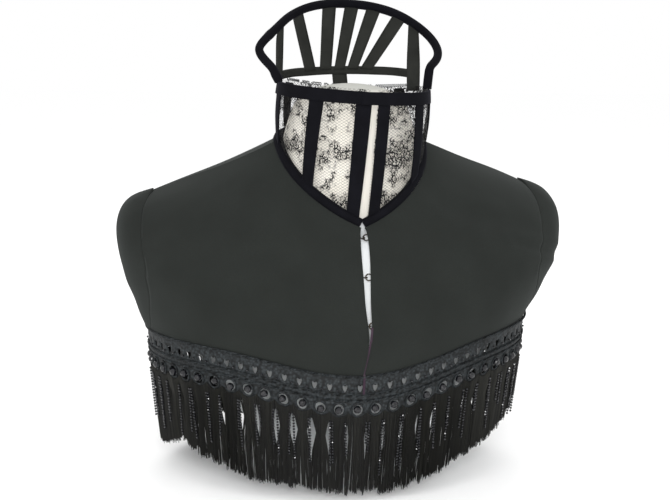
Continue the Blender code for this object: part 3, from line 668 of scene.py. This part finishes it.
# %% The velvet
PLUMP = {"binding": 1.1 * MM, "top_band": 0.5 * MM, "fan_rim": 0.2 * MM}
RIBBON_TUCK = 3.2 * MM
BACK_TUCK = 0.6 * MM
LAST_BONE_UNDER_THE_BAND = 5
LAP_DEG = 1.5
LAP = Vector((-4.6 * MM, -0.9 * MM, 0.0))
ribbon_pieces = {}
for name in ["binding_right", "binding_left", "top_band_right", "top_band_left", "fan_rim"]:
    bm = skin(name)
    if name == "top_band_left":
        turn = {corner: math.degrees(math.atan2(corner.co.x, -corner.co.y)) for corner in bm.verts}
        for corner in bm.verts:
            if turn[corner] < min(turn.values()) + LAP_DEG:
                corner.co += LAP
    grown(bm, PLUMP[name.removesuffix("_right").removesuffix("_left")])
    mesh = subdivided(to_mesh(bm, name), 2)
    ribbon_pieces[name] = add_piece(f"velvet_{name}", mesh, velvet, [name])
for number in range(9):
    name = f"bone_{number}"
    tuck = RIBBON_TUCK if number <= LAST_BONE_UNDER_THE_BAND else BACK_TUCK
    mesh = subdivided(to_mesh(lengthened(skin(name), tuck), name), 2)
    ribbon_pieces[name] = add_piece(f"velvet_{name}", mesh, velvet, [name])

# %% [markdown]
# The fan's bars are wired ribbon. Each one is sewn into the rim at its top and on the foot strip at
# its bottom, and the strip itself is sewn to the two outer posts.

# %% The fan
FAN_TUCK = {"fan_base": 5.0 * MM, "fan_stub": 3.0 * MM}
BAR_TUCK = 4.0 * MM
UP = Vector((0.0, 0.0, 1.0))
for name in ["fan_base", "fan_stub"] + [f"fan_rib_{number}" for number in range(7)]:
    way = UP if name == "fan_stub" else None
    bm = lengthened(skin(name), FAN_TUCK.get(name, BAR_TUCK), way)
    mesh = subdivided(to_mesh(bm, name), 2)
    ribbon_pieces[name] = add_piece(f"ribbon_{name}", mesh, grosgrain, [name])

# %% [markdown]
# Each half of the lace collar is a single layer of thread, far thinner than its solid. So only the
# solid's outer face is kept, and its top and foot are carried on under the bands. It gets a flat
# map in metres, round the neck and up, which is what the lace's finish reads.

# %% The lace collar
NECK_MIDDLE = Vector((0.0, -0.022, 0.0))
NECK_RADIUS = 0.062
LACE_FOOT_Z = 0.222
LACE_TUCK = 2.4 * MM
LACE_MIDDLE_Z = 0.305


def lace_half(node):
    bm = skin(node)
    bm.normal_update()
    inside = []
    for face in bm.faces:
        away = face.calc_center_median() - NECK_MIDDLE
        away.z = 0.0
        if face.normal.dot(away.normalized()) < 0.35:
            inside.append(face)
    bmesh.ops.delete(bm, geom=inside, context="FACES")
    for corner in bm.verts:
        steep = [abs((e.verts[0].co - e.verts[1].co).normalized().z) for e in corner.link_edges if e.is_boundary]
        if steep and min(steep) < 0.8:
            corner.co.z += math.copysign(LACE_TUCK, corner.co.z - LACE_MIDDLE_Z)
    mesh = subdivided(to_mesh(bm, node), 2)
    flat_map = mesh.uv_layers.new(name="lace_flat")
    for loop in mesh.loops:
        point = mesh.vertices[loop.vertex_index].co - NECK_MIDDLE
        turn = math.atan2(point.x, -point.y)
        flat_map.data[loop.index].uv = (turn * NECK_RADIUS, point.z - LACE_FOOT_Z)
    return mesh


lace_pieces = {}
for side in ("right", "left"):
    mesh = lace_half(f"lace_{side}")
    lace_pieces[side] = add_piece(f"lace_{side}_half", mesh, lace, [f"lace_{side}"])
    print("  lace, square metres:", round(sum(face.area for face in mesh.polygons), 4))

# %% [markdown]
# Things that come by the hundred are one small template, repeated. A template's corners are laid
# out again for each copy, all at once, and the copies are joined in one mesh. A loop of thread is
# the first such template: a small circle of corners, spun once about an axis.

# %% Helpers: repeat a template, and a loop of thread
def repeated(name, template, places):
    """One mesh of many copies: places has, for each copy, a row of points for the template's corners."""
    corners = len(template.vertices)
    faces = [list(face.vertices) for face in template.polygons]
    everything = []
    for copy in range(len(places)):
        everything += [[corner + copy * corners for corner in face] for face in faces]
    mesh = bpy.data.meshes.new(name)
    mesh.from_pydata(places.reshape(-1, 3).tolist(), [], everything)
    mesh.update()
    return mesh


def set_on(template, centres, rights, downs, outs):
    """Places of a template by a centre and three directions for each copy."""
    points = points_of(template)
    return (
        centres[:, None, :]
        + points[None, :, 0:1] * rights[:, None, :]
        + points[None, :, 1:2] * downs[:, None, :]
        + points[None, :, 2:3] * outs[:, None, :]
    )


def joined(name, *meshes):
    """Closed meshes in one, with every face outwards."""
    bm = bmesh.new()
    for mesh in meshes:
        bm.from_mesh(mesh)
    bmesh.ops.recalc_face_normals(bm, faces=bm.faces)
    return to_mesh(bm, name)


def thread_loop(name, half_width, half_height, thread, sides, steps):
    """A ring of thread that lies flat in X and Y."""
    bm = bmesh.new()
    small = bmesh.ops.create_circle(bm, segments=sides, radius=thread)["verts"]
    bmesh.ops.rotate(bm, verts=small, cent=(0, 0, 0), matrix=Matrix.Rotation(math.pi / 2, 3, "X"))
    bmesh.ops.translate(bm, verts=small, vec=(half_width, 0, 0))
    bmesh.ops.spin(
        bm, geom=bm.verts[:] + bm.edges[:], cent=(0, 0, 0), axis=(0, 0, 1), angle=2 * math.pi,
        steps=steps, use_merge=True,
    )
    bmesh.ops.remove_doubles(bm, verts=bm.verts, dist=MERGE)
    bmesh.ops.scale(bm, verts=bm.verts, vec=(1.0, half_height / half_width, 1.0))
    bmesh.ops.recalc_face_normals(bm, faces=bm.faces)
    return to_mesh(bm, name)


# %% [markdown]
# Behind the neck no band covers the lace, and its own top edge shows: a row of picots, small
# loops that the lace maker leaves standing. They follow the highest points of the two halves.

# %% The picots at the back
PICOT_PITCH = 2.3 * MM
PICOT_FROM_DEG = 99
PICOT_HALF_WIDTH, PICOT_HALF_HEIGHT, PICOT_THREAD = 0.8 * MM, 1.1 * MM, 0.32 * MM
EDGE_SLICE_DEG = 3
edge_top = {}
for piece in lace_pieces.values():
    for corner in piece.data.vertices:
        turn = math.degrees(math.atan2(corner.co.x, -corner.co.y)) % 360
        if PICOT_FROM_DEG < turn < 360 - PICOT_FROM_DEG:
            here = edge_top.setdefault(int(turn / EDGE_SLICE_DEG), (turn, corner.co))
            if corner.co.z > here[1].z:
                edge_top[int(turn / EDGE_SLICE_DEG)] = (turn, corner.co)
edge_turns, edge_points = zip(*sorted(edge_top.values(), key=lambda item: item[0]))
edge_points = np.array([point[:] for point in edge_points])
count = round(math.radians(edge_turns[-1] - edge_turns[0]) * NECK_RADIUS / PICOT_PITCH)
picot_turns = np.linspace(edge_turns[0], edge_turns[-1], count)
centres = np.column_stack([np.interp(picot_turns, edge_turns, edge_points[:, i]) for i in range(3)])
centres[:, 2] += PICOT_HALF_HEIGHT * 0.7
angles = np.radians(picot_turns)
flat = np.zeros(count)
picot = thread_loop("picot", PICOT_HALF_WIDTH, PICOT_HALF_HEIGHT, PICOT_THREAD, 4, 10)
picots = repeated("picots", picot, set_on(
    picot,
    centres,
    np.column_stack((np.cos(angles), np.sin(angles), flat)),
    np.column_stack((flat, flat, flat - 1)),
    np.column_stack((np.sin(angles), -np.cos(angles), flat)),
))
picot_piece = add_piece("picot_edge", joined("picots", picots), gimp)

# %% [markdown]
# The hooks and eyes keep their solids, which are round wire already, and only take a new finish.

# %% Hooks and eyes
for number in (1, 2, 3):
    for kind in ("hook", "eye"):
        fitting = nodes[f"{kind}_{number}"]
        for place in fitting.material_slots:
            place.material = hook_metal

# %% [markdown]
# All that hangs from the hem follows one ring. It is read from the top edge of the heading's solid:
# the highest outer point in each narrow slice round the body. A slice that has no corner on the
# top edge would make a dent, and is left out. A place on the fringe is then a distance round this
# ring, a drop below it and a step outwards, which is how a maker measures too.

# %% The ring of the hem
SLICES = 116
FALL_IN = 0.80
DENT = 2.5 * MM


def slice_of(point):
    return int((math.atan2(point.x, -point.y) / (2 * math.pi) % 1.0) * SLICES)


highest = {}
for side in ("right", "left"):
    for corner in nodes[f"heading_{side}"].data.vertices:
        key = (round(corner.co.z, 4), corner.co.xy.length)
        piece = slice_of(corner.co)
        if piece not in highest or key > highest[piece][0]:
            highest[piece] = (key, corner.co.copy())
ring = np.array([highest[piece][1] for piece in sorted(highest)])
neighbours = (np.roll(ring[:, 2], 1) + np.roll(ring[:, 2], -1)) / 2
ring = ring[ring[:, 2] > neighbours - DENT]
turns = np.arctan2(ring[:, 0], -ring[:, 1]) % (2 * math.pi)
ring = ring[np.argsort(turns)]
turns = np.sort(turns)
even = np.linspace(0, 2 * math.pi, 2880, endpoint=False)
smooth = np.column_stack([np.interp(even, turns, ring[:, i], period=2 * math.pi) for i in range(3)])
soft = np.hanning(61)
soft /= soft.sum()
smooth = np.column_stack([
    np.convolve(np.concatenate((smooth[-30:, i], smooth[:, i], smooth[:30, i])), soft, "valid")
    for i in range(3)
])
closed = np.vstack((smooth, smooth[:1]))
walked = np.concatenate(([0.0], np.cumsum(np.linalg.norm(np.diff(closed, axis=0), axis=1))))
HEM_LENGTH = walked[-1]
forward = np.gradient(closed, axis=0)
square = np.column_stack((forward[:, 1], -forward[:, 0]))
square /= np.linalg.norm(square, axis=1)[:, None]
square *= np.sign((square * closed[:, :2]).sum(axis=1))[:, None]
print("hem, mm:", round(HEM_LENGTH / MM))


def skirt(round_way, drop, out=0.0):
    """Points of the fringe: a distance round from the centre front, a drop and a step outwards."""
    at = np.asarray(round_way) % HEM_LENGTH
    x, y, z = (np.interp(at, walked, closed[:, i]) for i in range(3))
    out_x, out_y = (np.interp(at, walked, square[:, i]) for i in range(2))
    inward = 1 - FALL_IN * np.asarray(drop)
    return np.stack((x * inward + out_x * out, y * inward + out_y * out, z - drop), axis=-1)


# %% [markdown]
# The lengths of the tassels are the solids' own: in each slice round the body, the lowest corner
# of the fringe says where its tips are.

# %% The heights of the tips
tip_slices = {}
for side in ("right", "left"):
    for corner in nodes[f"fringe_{side}"].data.vertices:
        piece = slice_of(corner.co) // 2
        tip_slices[piece] = min(tip_slices.get(piece, 1.0), corner.co.z)
tip_turns = np.array([(piece + 0.5) * 4 * math.pi / SLICES for piece in sorted(tip_slices)])
tip_heights = np.array([tip_slices[piece] for piece in sorted(tip_slices)])
ring_turns = np.arctan2(closed[:, 0], -closed[:, 1]) % (2 * math.pi)
tips_round = np.interp(ring_turns, tip_turns, tip_heights, period=2 * math.pi)
print("tips, mm:", round(tips_round.min() / MM, 1), "to", round(tips_round.max() / MM, 1))


def tip_height(round_way):
    return np.interp(np.asarray(round_way) % HEM_LENGTH, walked, tips_round)


def hem_frame(round_way, drop, out=0.0):
    """Centres and directions on the fringe, for set_on."""
    centres = skirt(round_way, drop, out)
    rights = skirt(round_way + MM, drop, out) - skirt(round_way - MM, drop, out)
    rights /= np.linalg.norm(rights, axis=1)[:, None]
    downs = skirt(round_way, drop + MM, out) - centres
    downs /= np.linalg.norm(downs, axis=1)[:, None]
    outs = np.cross(rights, downs)
    outs *= np.sign((outs[:, :2] * centres[:, :2]).sum(axis=1))[:, None]
    return centres, rights, downs, outs


# %% [markdown]
# The heading is a band of crochet with two rows of holes: small notched slots below the hem, and
# round eyelets further down. A hole in a plate is a round loop of corners bridged to the loop of the
# plate's edge. The plates lie flat at first, in distance round and drop, and are then wrapped on.

# %% The heading's plates
EYELETS = 58
SLOTS = 72
EYELET_PITCH = HEM_LENGTH / EYELETS
SLOT_PITCH = HEM_LENGTH / SLOTS
SLOT_ROW = (-3.0 * MM, 15.5 * MM)
SLOT_MIDDLE, SLOT_HALF_WIDTH, SLOT_HALF_HEIGHT = 10.2 * MM, 2.7 * MM, 3.2 * MM
BAND_ROW = (14.7 * MM, 22.3 * MM)
BAND_PROUD = 0.5 * MM
HEM_TUCK = 1.4 * MM
EYELET_ROW = (21.5 * MM, 39.5 * MM)
EYELET_MIDDLE, EYELET_HALF_WIDTH, EYELET_HALF_HEIGHT = 28.2 * MM, 4.4 * MM, 5.0 * MM
GIMP_THICKNESS = 1.5 * MM


def pierced_plate(name, pitch, row, middle, half_width, half_height, notch):
    """A plate as wide as the pitch, with one hole. notch makes the hole a heart."""
    bm = bmesh.new()
    hole = bmesh.ops.create_circle(bm, segments=16, radius=1.0)["verts"]
    edge = bmesh.ops.create_circle(bm, segments=16, radius=1.0)["verts"]
    for corner in hole:
        narrow = 1 - notch * (0.5 + 0.5 * corner.co.y)
        dent = notch * max(0.0, -corner.co.y) * (1 - abs(corner.co.x)) ** 2
        corner.co = (
            corner.co.x * half_width * narrow,
            middle + (corner.co.y + dent) * half_height,
            0.0,
        )
    for corner in edge:
        reach = max(abs(corner.co.x), abs(corner.co.y))
        x, y = corner.co.x / reach, corner.co.y / reach
        side = row[1] if y > 0 else row[0]
        corner.co = (x * pitch / 2, middle + abs(y) * (side - middle), 0.0)
    bmesh.ops.bridge_loops(bm, edges=bm.edges)
    return to_mesh(bm, name)


def wrapped(template, count, pitch):
    """Copies of a flat template set side by side round the hem."""
    points = points_of(template)
    starts = (np.arange(count) + 0.5) * pitch
    drop = np.broadcast_to(points[:, 1], (count, len(points)))
    out = np.where(drop < 0, -HEM_TUCK, points[:, 2])
    return skirt(starts[:, None] + points[None, :, 0], drop, out)


slot_plate = pierced_plate(
    "slot_plate", SLOT_PITCH, SLOT_ROW, SLOT_MIDDLE, SLOT_HALF_WIDTH, SLOT_HALF_HEIGHT, 0.75)
eyelet_plate = pierced_plate(
    "eyelet_plate", EYELET_PITCH, EYELET_ROW, EYELET_MIDDLE, EYELET_HALF_WIDTH, EYELET_HALF_HEIGHT, 0.0)
bm = bmesh.new()
bmesh.ops.create_grid(bm, x_segments=4, y_segments=1, size=0.5)
for corner in bm.verts:
    corner.co = (corner.co.x * EYELET_PITCH, BAND_ROW[0] if corner.co.y < 0 else BAND_ROW[1], BAND_PROUD)
band_plate = to_mesh(bm, "band_plate")

heading = bmesh.new()
for template, count, pitch in (
    (slot_plate, SLOTS, SLOT_PITCH), (band_plate, EYELETS, EYELET_PITCH), (eyelet_plate, EYELETS, EYELET_PITCH),
):
    heading.from_mesh(repeated("row", template, wrapped(template, count, pitch)))
bmesh.ops.remove_doubles(heading, verts=heading.verts, dist=0.1 * MM)
bmesh.ops.recalc_face_normals(heading, faces=heading.faces)
top = max(heading.faces, key=lambda face: face.calc_center_median().y)
if top.normal.y < 0:
    bmesh.ops.reverse_faces(heading, faces=heading.faces)
heading_mesh = with_modifiers(
    to_mesh(heading, "heading"),
    ("SOLIDIFY", {"thickness": GIMP_THICKNESS, "offset": -1.0}),
    ("SUBSURF", {"levels": 1, "render_levels": 1}),
)
heading_piece = add_piece("gimp_heading", heading_mesh, gimp, ["heading_right", "heading_left"])

# %% [markdown]
# Thread is wrapped round the edge of each eyelet, which makes a raised ring. Cords of two twisted
# strands run along the hem and below the slots: each strand is a line that winds round the cord's
# path, given its thickness by a curve.

# %% Rings and cords
RING_THREAD = 0.75 * MM
CORD_DROPS = (0.6 * MM, 16.2 * MM, 20.8 * MM)
CORD_PROUD = 0.6 * MM
CORD_STRAND = 0.62 * MM
CORD_TURN = 4.6 * MM
ring_template = thread_loop(
    "ring", EYELET_HALF_WIDTH + 0.3 * MM, EYELET_HALF_HEIGHT + 0.3 * MM, RING_THREAD, 6, 18)
eyelet_places = (np.arange(EYELETS) + 0.5) * EYELET_PITCH
ring_mesh = repeated("rings", ring_template, set_on(ring_template, *hem_frame(eyelet_places, EYELET_MIDDLE, 0.2 * MM)))


def cord_mesh(name, paths, radius, sides):
    """Round strands along paths, as a bevelled curve made into a mesh."""
    curve = bpy.data.curves.new(name, "CURVE")
    curve.dimensions = "3D"
    curve.bevel_depth = radius
    curve.bevel_resolution = sides
    for path in paths:
        line = curve.splines.new("POLY")
        line.points.add(len(path) - 1)
        line.points.foreach_set("co", np.column_stack((path, np.ones(len(path)))).ravel())
        line.use_cyclic_u = True
    holder = bpy.data.objects.new(name, curve)
    scene.collection.objects.link(holder)
    bpy.context.view_layer.update()
    shaped = holder.evaluated_get(bpy.context.evaluated_depsgraph_get())
    mesh = bpy.data.meshes.new_from_object(shaped)
    bpy.data.objects.remove(holder)
    return mesh


paths = []
turns_round = round(HEM_LENGTH / CORD_TURN)
walk = np.linspace(0, HEM_LENGTH, turns_round * 6, endpoint=False)
wind = walk / HEM_LENGTH * turns_round * 2 * math.pi
for drop in CORD_DROPS:
    for strand in (0.0, math.pi):
        paths.append(skirt(
            walk,
            drop + CORD_STRAND * 0.9 * np.cos(wind + strand),
            CORD_PROUD + CORD_STRAND * 0.9 * np.sin(wind + strand),
        ))
cords = cord_mesh("cords", paths, CORD_STRAND, 0)
trim_piece = add_piece("gimp_cords", joined("gimp_cords", ring_mesh, cords), gimp)

# %% [markdown]
# Every eyelet frames a large jet bead, and every slot has a small one beside it. Between the tassels
# hang strings of tiny beads. Cut jet has flat facets, so a coarse ball is the right shape: eighty
# faces for a large bead, twenty for a tiny one. Each bead is tumbled by chance, and so the facets
# that face the flash, and shine, are scattered as they are on a worn fringe.

# %% The beads
BIG_BEAD = 3.2 * MM
SLOT_BEAD = 1.0 * MM
SMALL_BEAD = 1.1 * MM
STRING_TOP = 39 * MM
STRING_BEADS = 20
STRINGS_A_GAP = 2
chance = np.random.default_rng(11)


def ball(name, radius, fineness):
    bm = bmesh.new()
    bmesh.ops.create_icosphere(bm, subdivisions=fineness, radius=radius)
    return to_mesh(bm, name)


def tumbled(template, centres):
    """Places of a template at the centres, each turned by chance."""
    turned = np.linalg.qr(chance.normal(size=(len(centres), 3, 3)))[0]
    return set_on(template, centres, turned[:, 0], turned[:, 1], turned[:, 2])


big_ball = ball("big_bead", BIG_BEAD, 2)
big_beads = repeated("big_beads", big_ball, tumbled(big_ball, skirt(
    eyelet_places + chance.uniform(-1.0, 1.0, EYELETS) * MM,
    EYELET_MIDDLE + chance.uniform(-0.8, 1.4, EYELETS) * MM,
    0.3 * MM,
)))
slot_ball = ball("slot_bead", SLOT_BEAD, 1)
slot_places = np.arange(SLOTS) * SLOT_PITCH
slot_beads = repeated("slot_beads", slot_ball, tumbled(slot_ball, skirt(
    slot_places, np.full(SLOTS, 12.2 * MM), 0.9 * MM)))
small_ball = ball("small_bead", SMALL_BEAD, 1)
strings = EYELETS * STRINGS_A_GAP
string_starts = (np.arange(strings) // STRINGS_A_GAP) * EYELET_PITCH + chance.uniform(-2.6, 2.6, strings) * MM
order = np.tile(np.arange(STRING_BEADS), strings)
share = order / STRING_BEADS
hung = share < np.repeat(chance.uniform(0.35, 1.0, strings), STRING_BEADS)
sway = np.repeat(chance.uniform(-2.2, 2.2, strings), STRING_BEADS) * share * MM
string_beads = repeated("string_beads", small_ball, tumbled(small_ball, skirt(
    (np.repeat(string_starts, STRING_BEADS) + sway)[hung],
    (STRING_TOP + order * SMALL_BEAD * 2.2)[hung],
    (2.1 * MM + 1.1 * MM * share)[hung],
)))
bead_mesh = joined("jet_beads", big_beads, slot_beads, string_beads)
FACET_DEG = 5
bead_piece = add_piece("jet_beads", bead_mesh, jet, sharp_deg=FACET_DEG)

# %% [markdown]
# Each tassel is looped over the foot of the heading, drawn together to a neck a little below its
# eyelet, and then opens into a curtain that meets its neighbours. A strand is a three-sided rod,
# cut across in several places so that it can bend. Its place in the tassel, its tone, its length
# and its sway are drawn by chance from a fixed seed, and so is how tightly each tassel is drawn in.
# Strands that lie close are pulled into locks, as floss clings together.

# %% The tassels
STRANDS = 132
STRAND_RADIUS = 0.40 * MM
LOCKS = 5
TASSEL_TOP = 0.0350
SCALLOP = 0.0042
NECK_DROP = 0.0500
TASSEL_SHAPE = (
    # drop, half width, half depth, step outwards
    (0.0300, 0.0078, 0.0004, 0.0006),
    (0.0365, 0.0074, 0.0008, 0.0006),
    (0.0430, 0.0056, 0.0013, 0.0000),
    (NECK_DROP, 0.0037, 0.0019, -0.0008),
    (0.0580, 0.0050, 0.0022, -0.0008),
    (0.0700, 0.0076, 0.0025, -0.0008),
    (0.1000, 0.0088, 0.0028, -0.0008),
)
TIGHTEST, LOOSEST = 0.80, 1.75
STATIONS = (0.0, 0.08, 0.17, 0.30, 0.52, 0.76, 1.0)
bm = bmesh.new()
bmesh.ops.create_cone(bm, cap_ends=True, segments=3, radius1=1.0, radius2=1.0, depth=1.0)
bmesh.ops.translate(bm, verts=bm.verts, vec=(0, 0, 0.5))
for station in STATIONS[1:-1]:
    bmesh.ops.bisect_plane(
        bm, geom=bm.verts[:] + bm.edges[:] + bm.faces[:], plane_co=(0, 0, station), plane_no=(0, 0, 1),
    )
strand_template = to_mesh(bm, "strand")


def tassels(first, count, seed):
    """The corners of the strands of several tassels, and their tones, painted lighter on the heads."""
    draw = np.random.default_rng(seed)
    template = points_of(strand_template)
    shape = np.array(TASSEL_SHAPE)
    total = count * STRANDS
    centre = np.repeat((first + np.arange(count) + 0.5) * EYELET_PITCH, STRANDS)
    across = draw.uniform(-1, 1, total)
    deep = draw.uniform(-1, 1, total)
    lock = np.round((across * 0.5 + 0.5) * (LOCKS - 1)) / (LOCKS - 1) * 2 - 1
    lock_number = np.repeat(np.arange(count), STRANDS) * LOCKS + np.round((lock * 0.5 + 0.5) * (LOCKS - 1)).astype(int)
    lock_sway = draw.uniform(-1, 1, count * LOCKS)[lock_number]
    lock_short = draw.uniform(0, 1, count * LOCKS)[lock_number] ** 2
    tassel_sway = np.repeat(draw.uniform(-1, 1, count), STRANDS)
    tightness = np.repeat(draw.uniform(TIGHTEST, LOOSEST, count), STRANDS)
    phase = draw.uniform(0, 2 * math.pi, total)
    hem_z = skirt(centre, 0.0)[:, 2]
    tip = tip_height(centre) + (draw.uniform(-1.2, 3.2, total) + 4.5 * lock_short) * MM
    tip_drop = hem_z - np.maximum(tip, 2 * MM)
    t = template[None, :, 2]
    start = TASSEL_TOP - SCALLOP * across**2 + draw.uniform(-0.6, 0.6, total) * MM
    drop = start[:, None] + (tip_drop - start)[:, None] * t
    half = np.interp(drop, shape[:, 0], shape[:, 1])
    at_neck = np.exp(-(((drop - NECK_DROP) / 0.010) ** 2))
    half = half * (1 + (tightness[:, None] - 1) * at_neck)
    thick = np.interp(drop, shape[:, 0], shape[:, 2])
    gather = 0.22 * np.clip(t - 0.25, 0, 1)
    spread = across[:, None] + (lock - across)[:, None] * gather
    lower = np.clip((drop - 0.055) / 0.05, 0, 1)
    side = spread * half + (lock_sway[:, None] * 0.7 + tassel_sway[:, None] * 0.9) * lower * MM
    side = side + tassel_sway[:, None] * at_neck * 0.9 * MM
    side = side + 0.35 * MM * np.sin(phase[:, None] + drop * 240) * lower
    out = deep[:, None] * thick + np.interp(drop, shape[:, 0], shape[:, 3])
    narrow = STRAND_RADIUS * (1 - 0.35 * t)
    side = side + template[None, :, 0] * narrow
    out = out + template[None, :, 1] * narrow
    corners = skirt(centre[:, None] + side, drop, out)
    strand_tone = np.clip(draw.normal(0.32, 0.24, total) + 0.16 * lock_sway, 0, 1.4)
    # Painted light: each tone fades to 0.55 of itself between drops of 40 and 100 mm, a painted highlight on the
    # heads.
    tones_and_painted_light = strand_tone[:, None] * (0.55 + 0.45 * (1 - np.clip((drop - 0.04) / 0.06, 0, 1)))
    return corners, tones_and_painted_light


HALF = EYELETS // 2
for side, first in (("left", 0), ("right", HALF)):
    corners, tones_and_painted_light = tassels(first, HALF, 23 + first)
    mesh = repeated(f"tassels_{side}", strand_template, corners)
    attribute = mesh.attributes.new("tone", "FLOAT", "POINT")
    attribute.data.foreach_set("value", tones_and_painted_light.astype(np.float32).ravel())
    add_piece(f"tassels_{side}", mesh, floss, [f"fringe_{side}"])

# %% [markdown]
# The front edges are faced with plum silk, and in the lowest third of the opening the facing comes
# forward and shows as a thin line. It follows the edge of the left front down to the hem, and then
# the middle of the heading.

# %% The plum facing
FACING_TOP_Z = 0.146
FACING_END_DROP = 15 * MM
FACING_HALF_WIDTH = 0.9 * MM
FACING_STEPS = 30
EDGE_STEP = 4 * MM
EDGE_REACH_DEG = 1.2
hem_z = float(skirt(0.0, 0.0)[2])
cloth = points_of(wool_pieces["front_left"].data)
turn = np.degrees(np.arctan2(cloth[:, 0], -cloth[:, 1]))
line = []
for z in np.arange(hem_z + EDGE_STEP, FACING_TOP_Z + EDGE_STEP, EDGE_STEP):
    near = np.abs(cloth[:, 2] - z) < EDGE_STEP
    at_edge = near & (turn < turn[near].min() + EDGE_REACH_DEG)
    line.append((z, cloth[at_edge, 0].min(), cloth[at_edge, 1].min()))
line = np.array(line)
bm = bmesh.new()
bmesh.ops.create_grid(bm, x_segments=1, y_segments=FACING_STEPS, size=0.5)
for corner in bm.verts:
    z = FACING_TOP_Z - (0.5 - corner.co.y) * (FACING_TOP_Z - hem_z + FACING_END_DROP)
    if z > hem_z:
        middle = Vector((np.interp(z, line[:, 0], line[:, 1]), np.interp(z, line[:, 0], line[:, 2]), z))
        middle.y += 0.4 * MM
    else:
        middle = Vector(skirt(line[0, 1], hem_z - z, BAND_PROUD + 0.8 * MM))
    corner.co = middle + Vector((corner.co.x * 2 * FACING_HALF_WIDTH, 0.0, 0.0))
bmesh.ops.recalc_face_normals(bm, faces=bm.faces)
facing_piece = add_piece("plum_facing", to_mesh(bm, "plum_facing"), plum)

# %% [markdown]
# For each side, the velvet that goes with it is gathered: the ribbons over its bones, its top band
# and its binding, and on the right the picot edge too. A panel's cut area was printed when it was made.

for side, bones in (("right", (0, 2, 4, 6, 8)), ("left", (1, 3, 5, 7))):
    ribbons = [ribbon_pieces[f"bone_{number}"] for number in bones]
    ribbons += [ribbon_pieces[f"top_band_{side}"], ribbon_pieces[f"binding_{side}"]]
    if side == "right":
        ribbons.append(picot_piece)
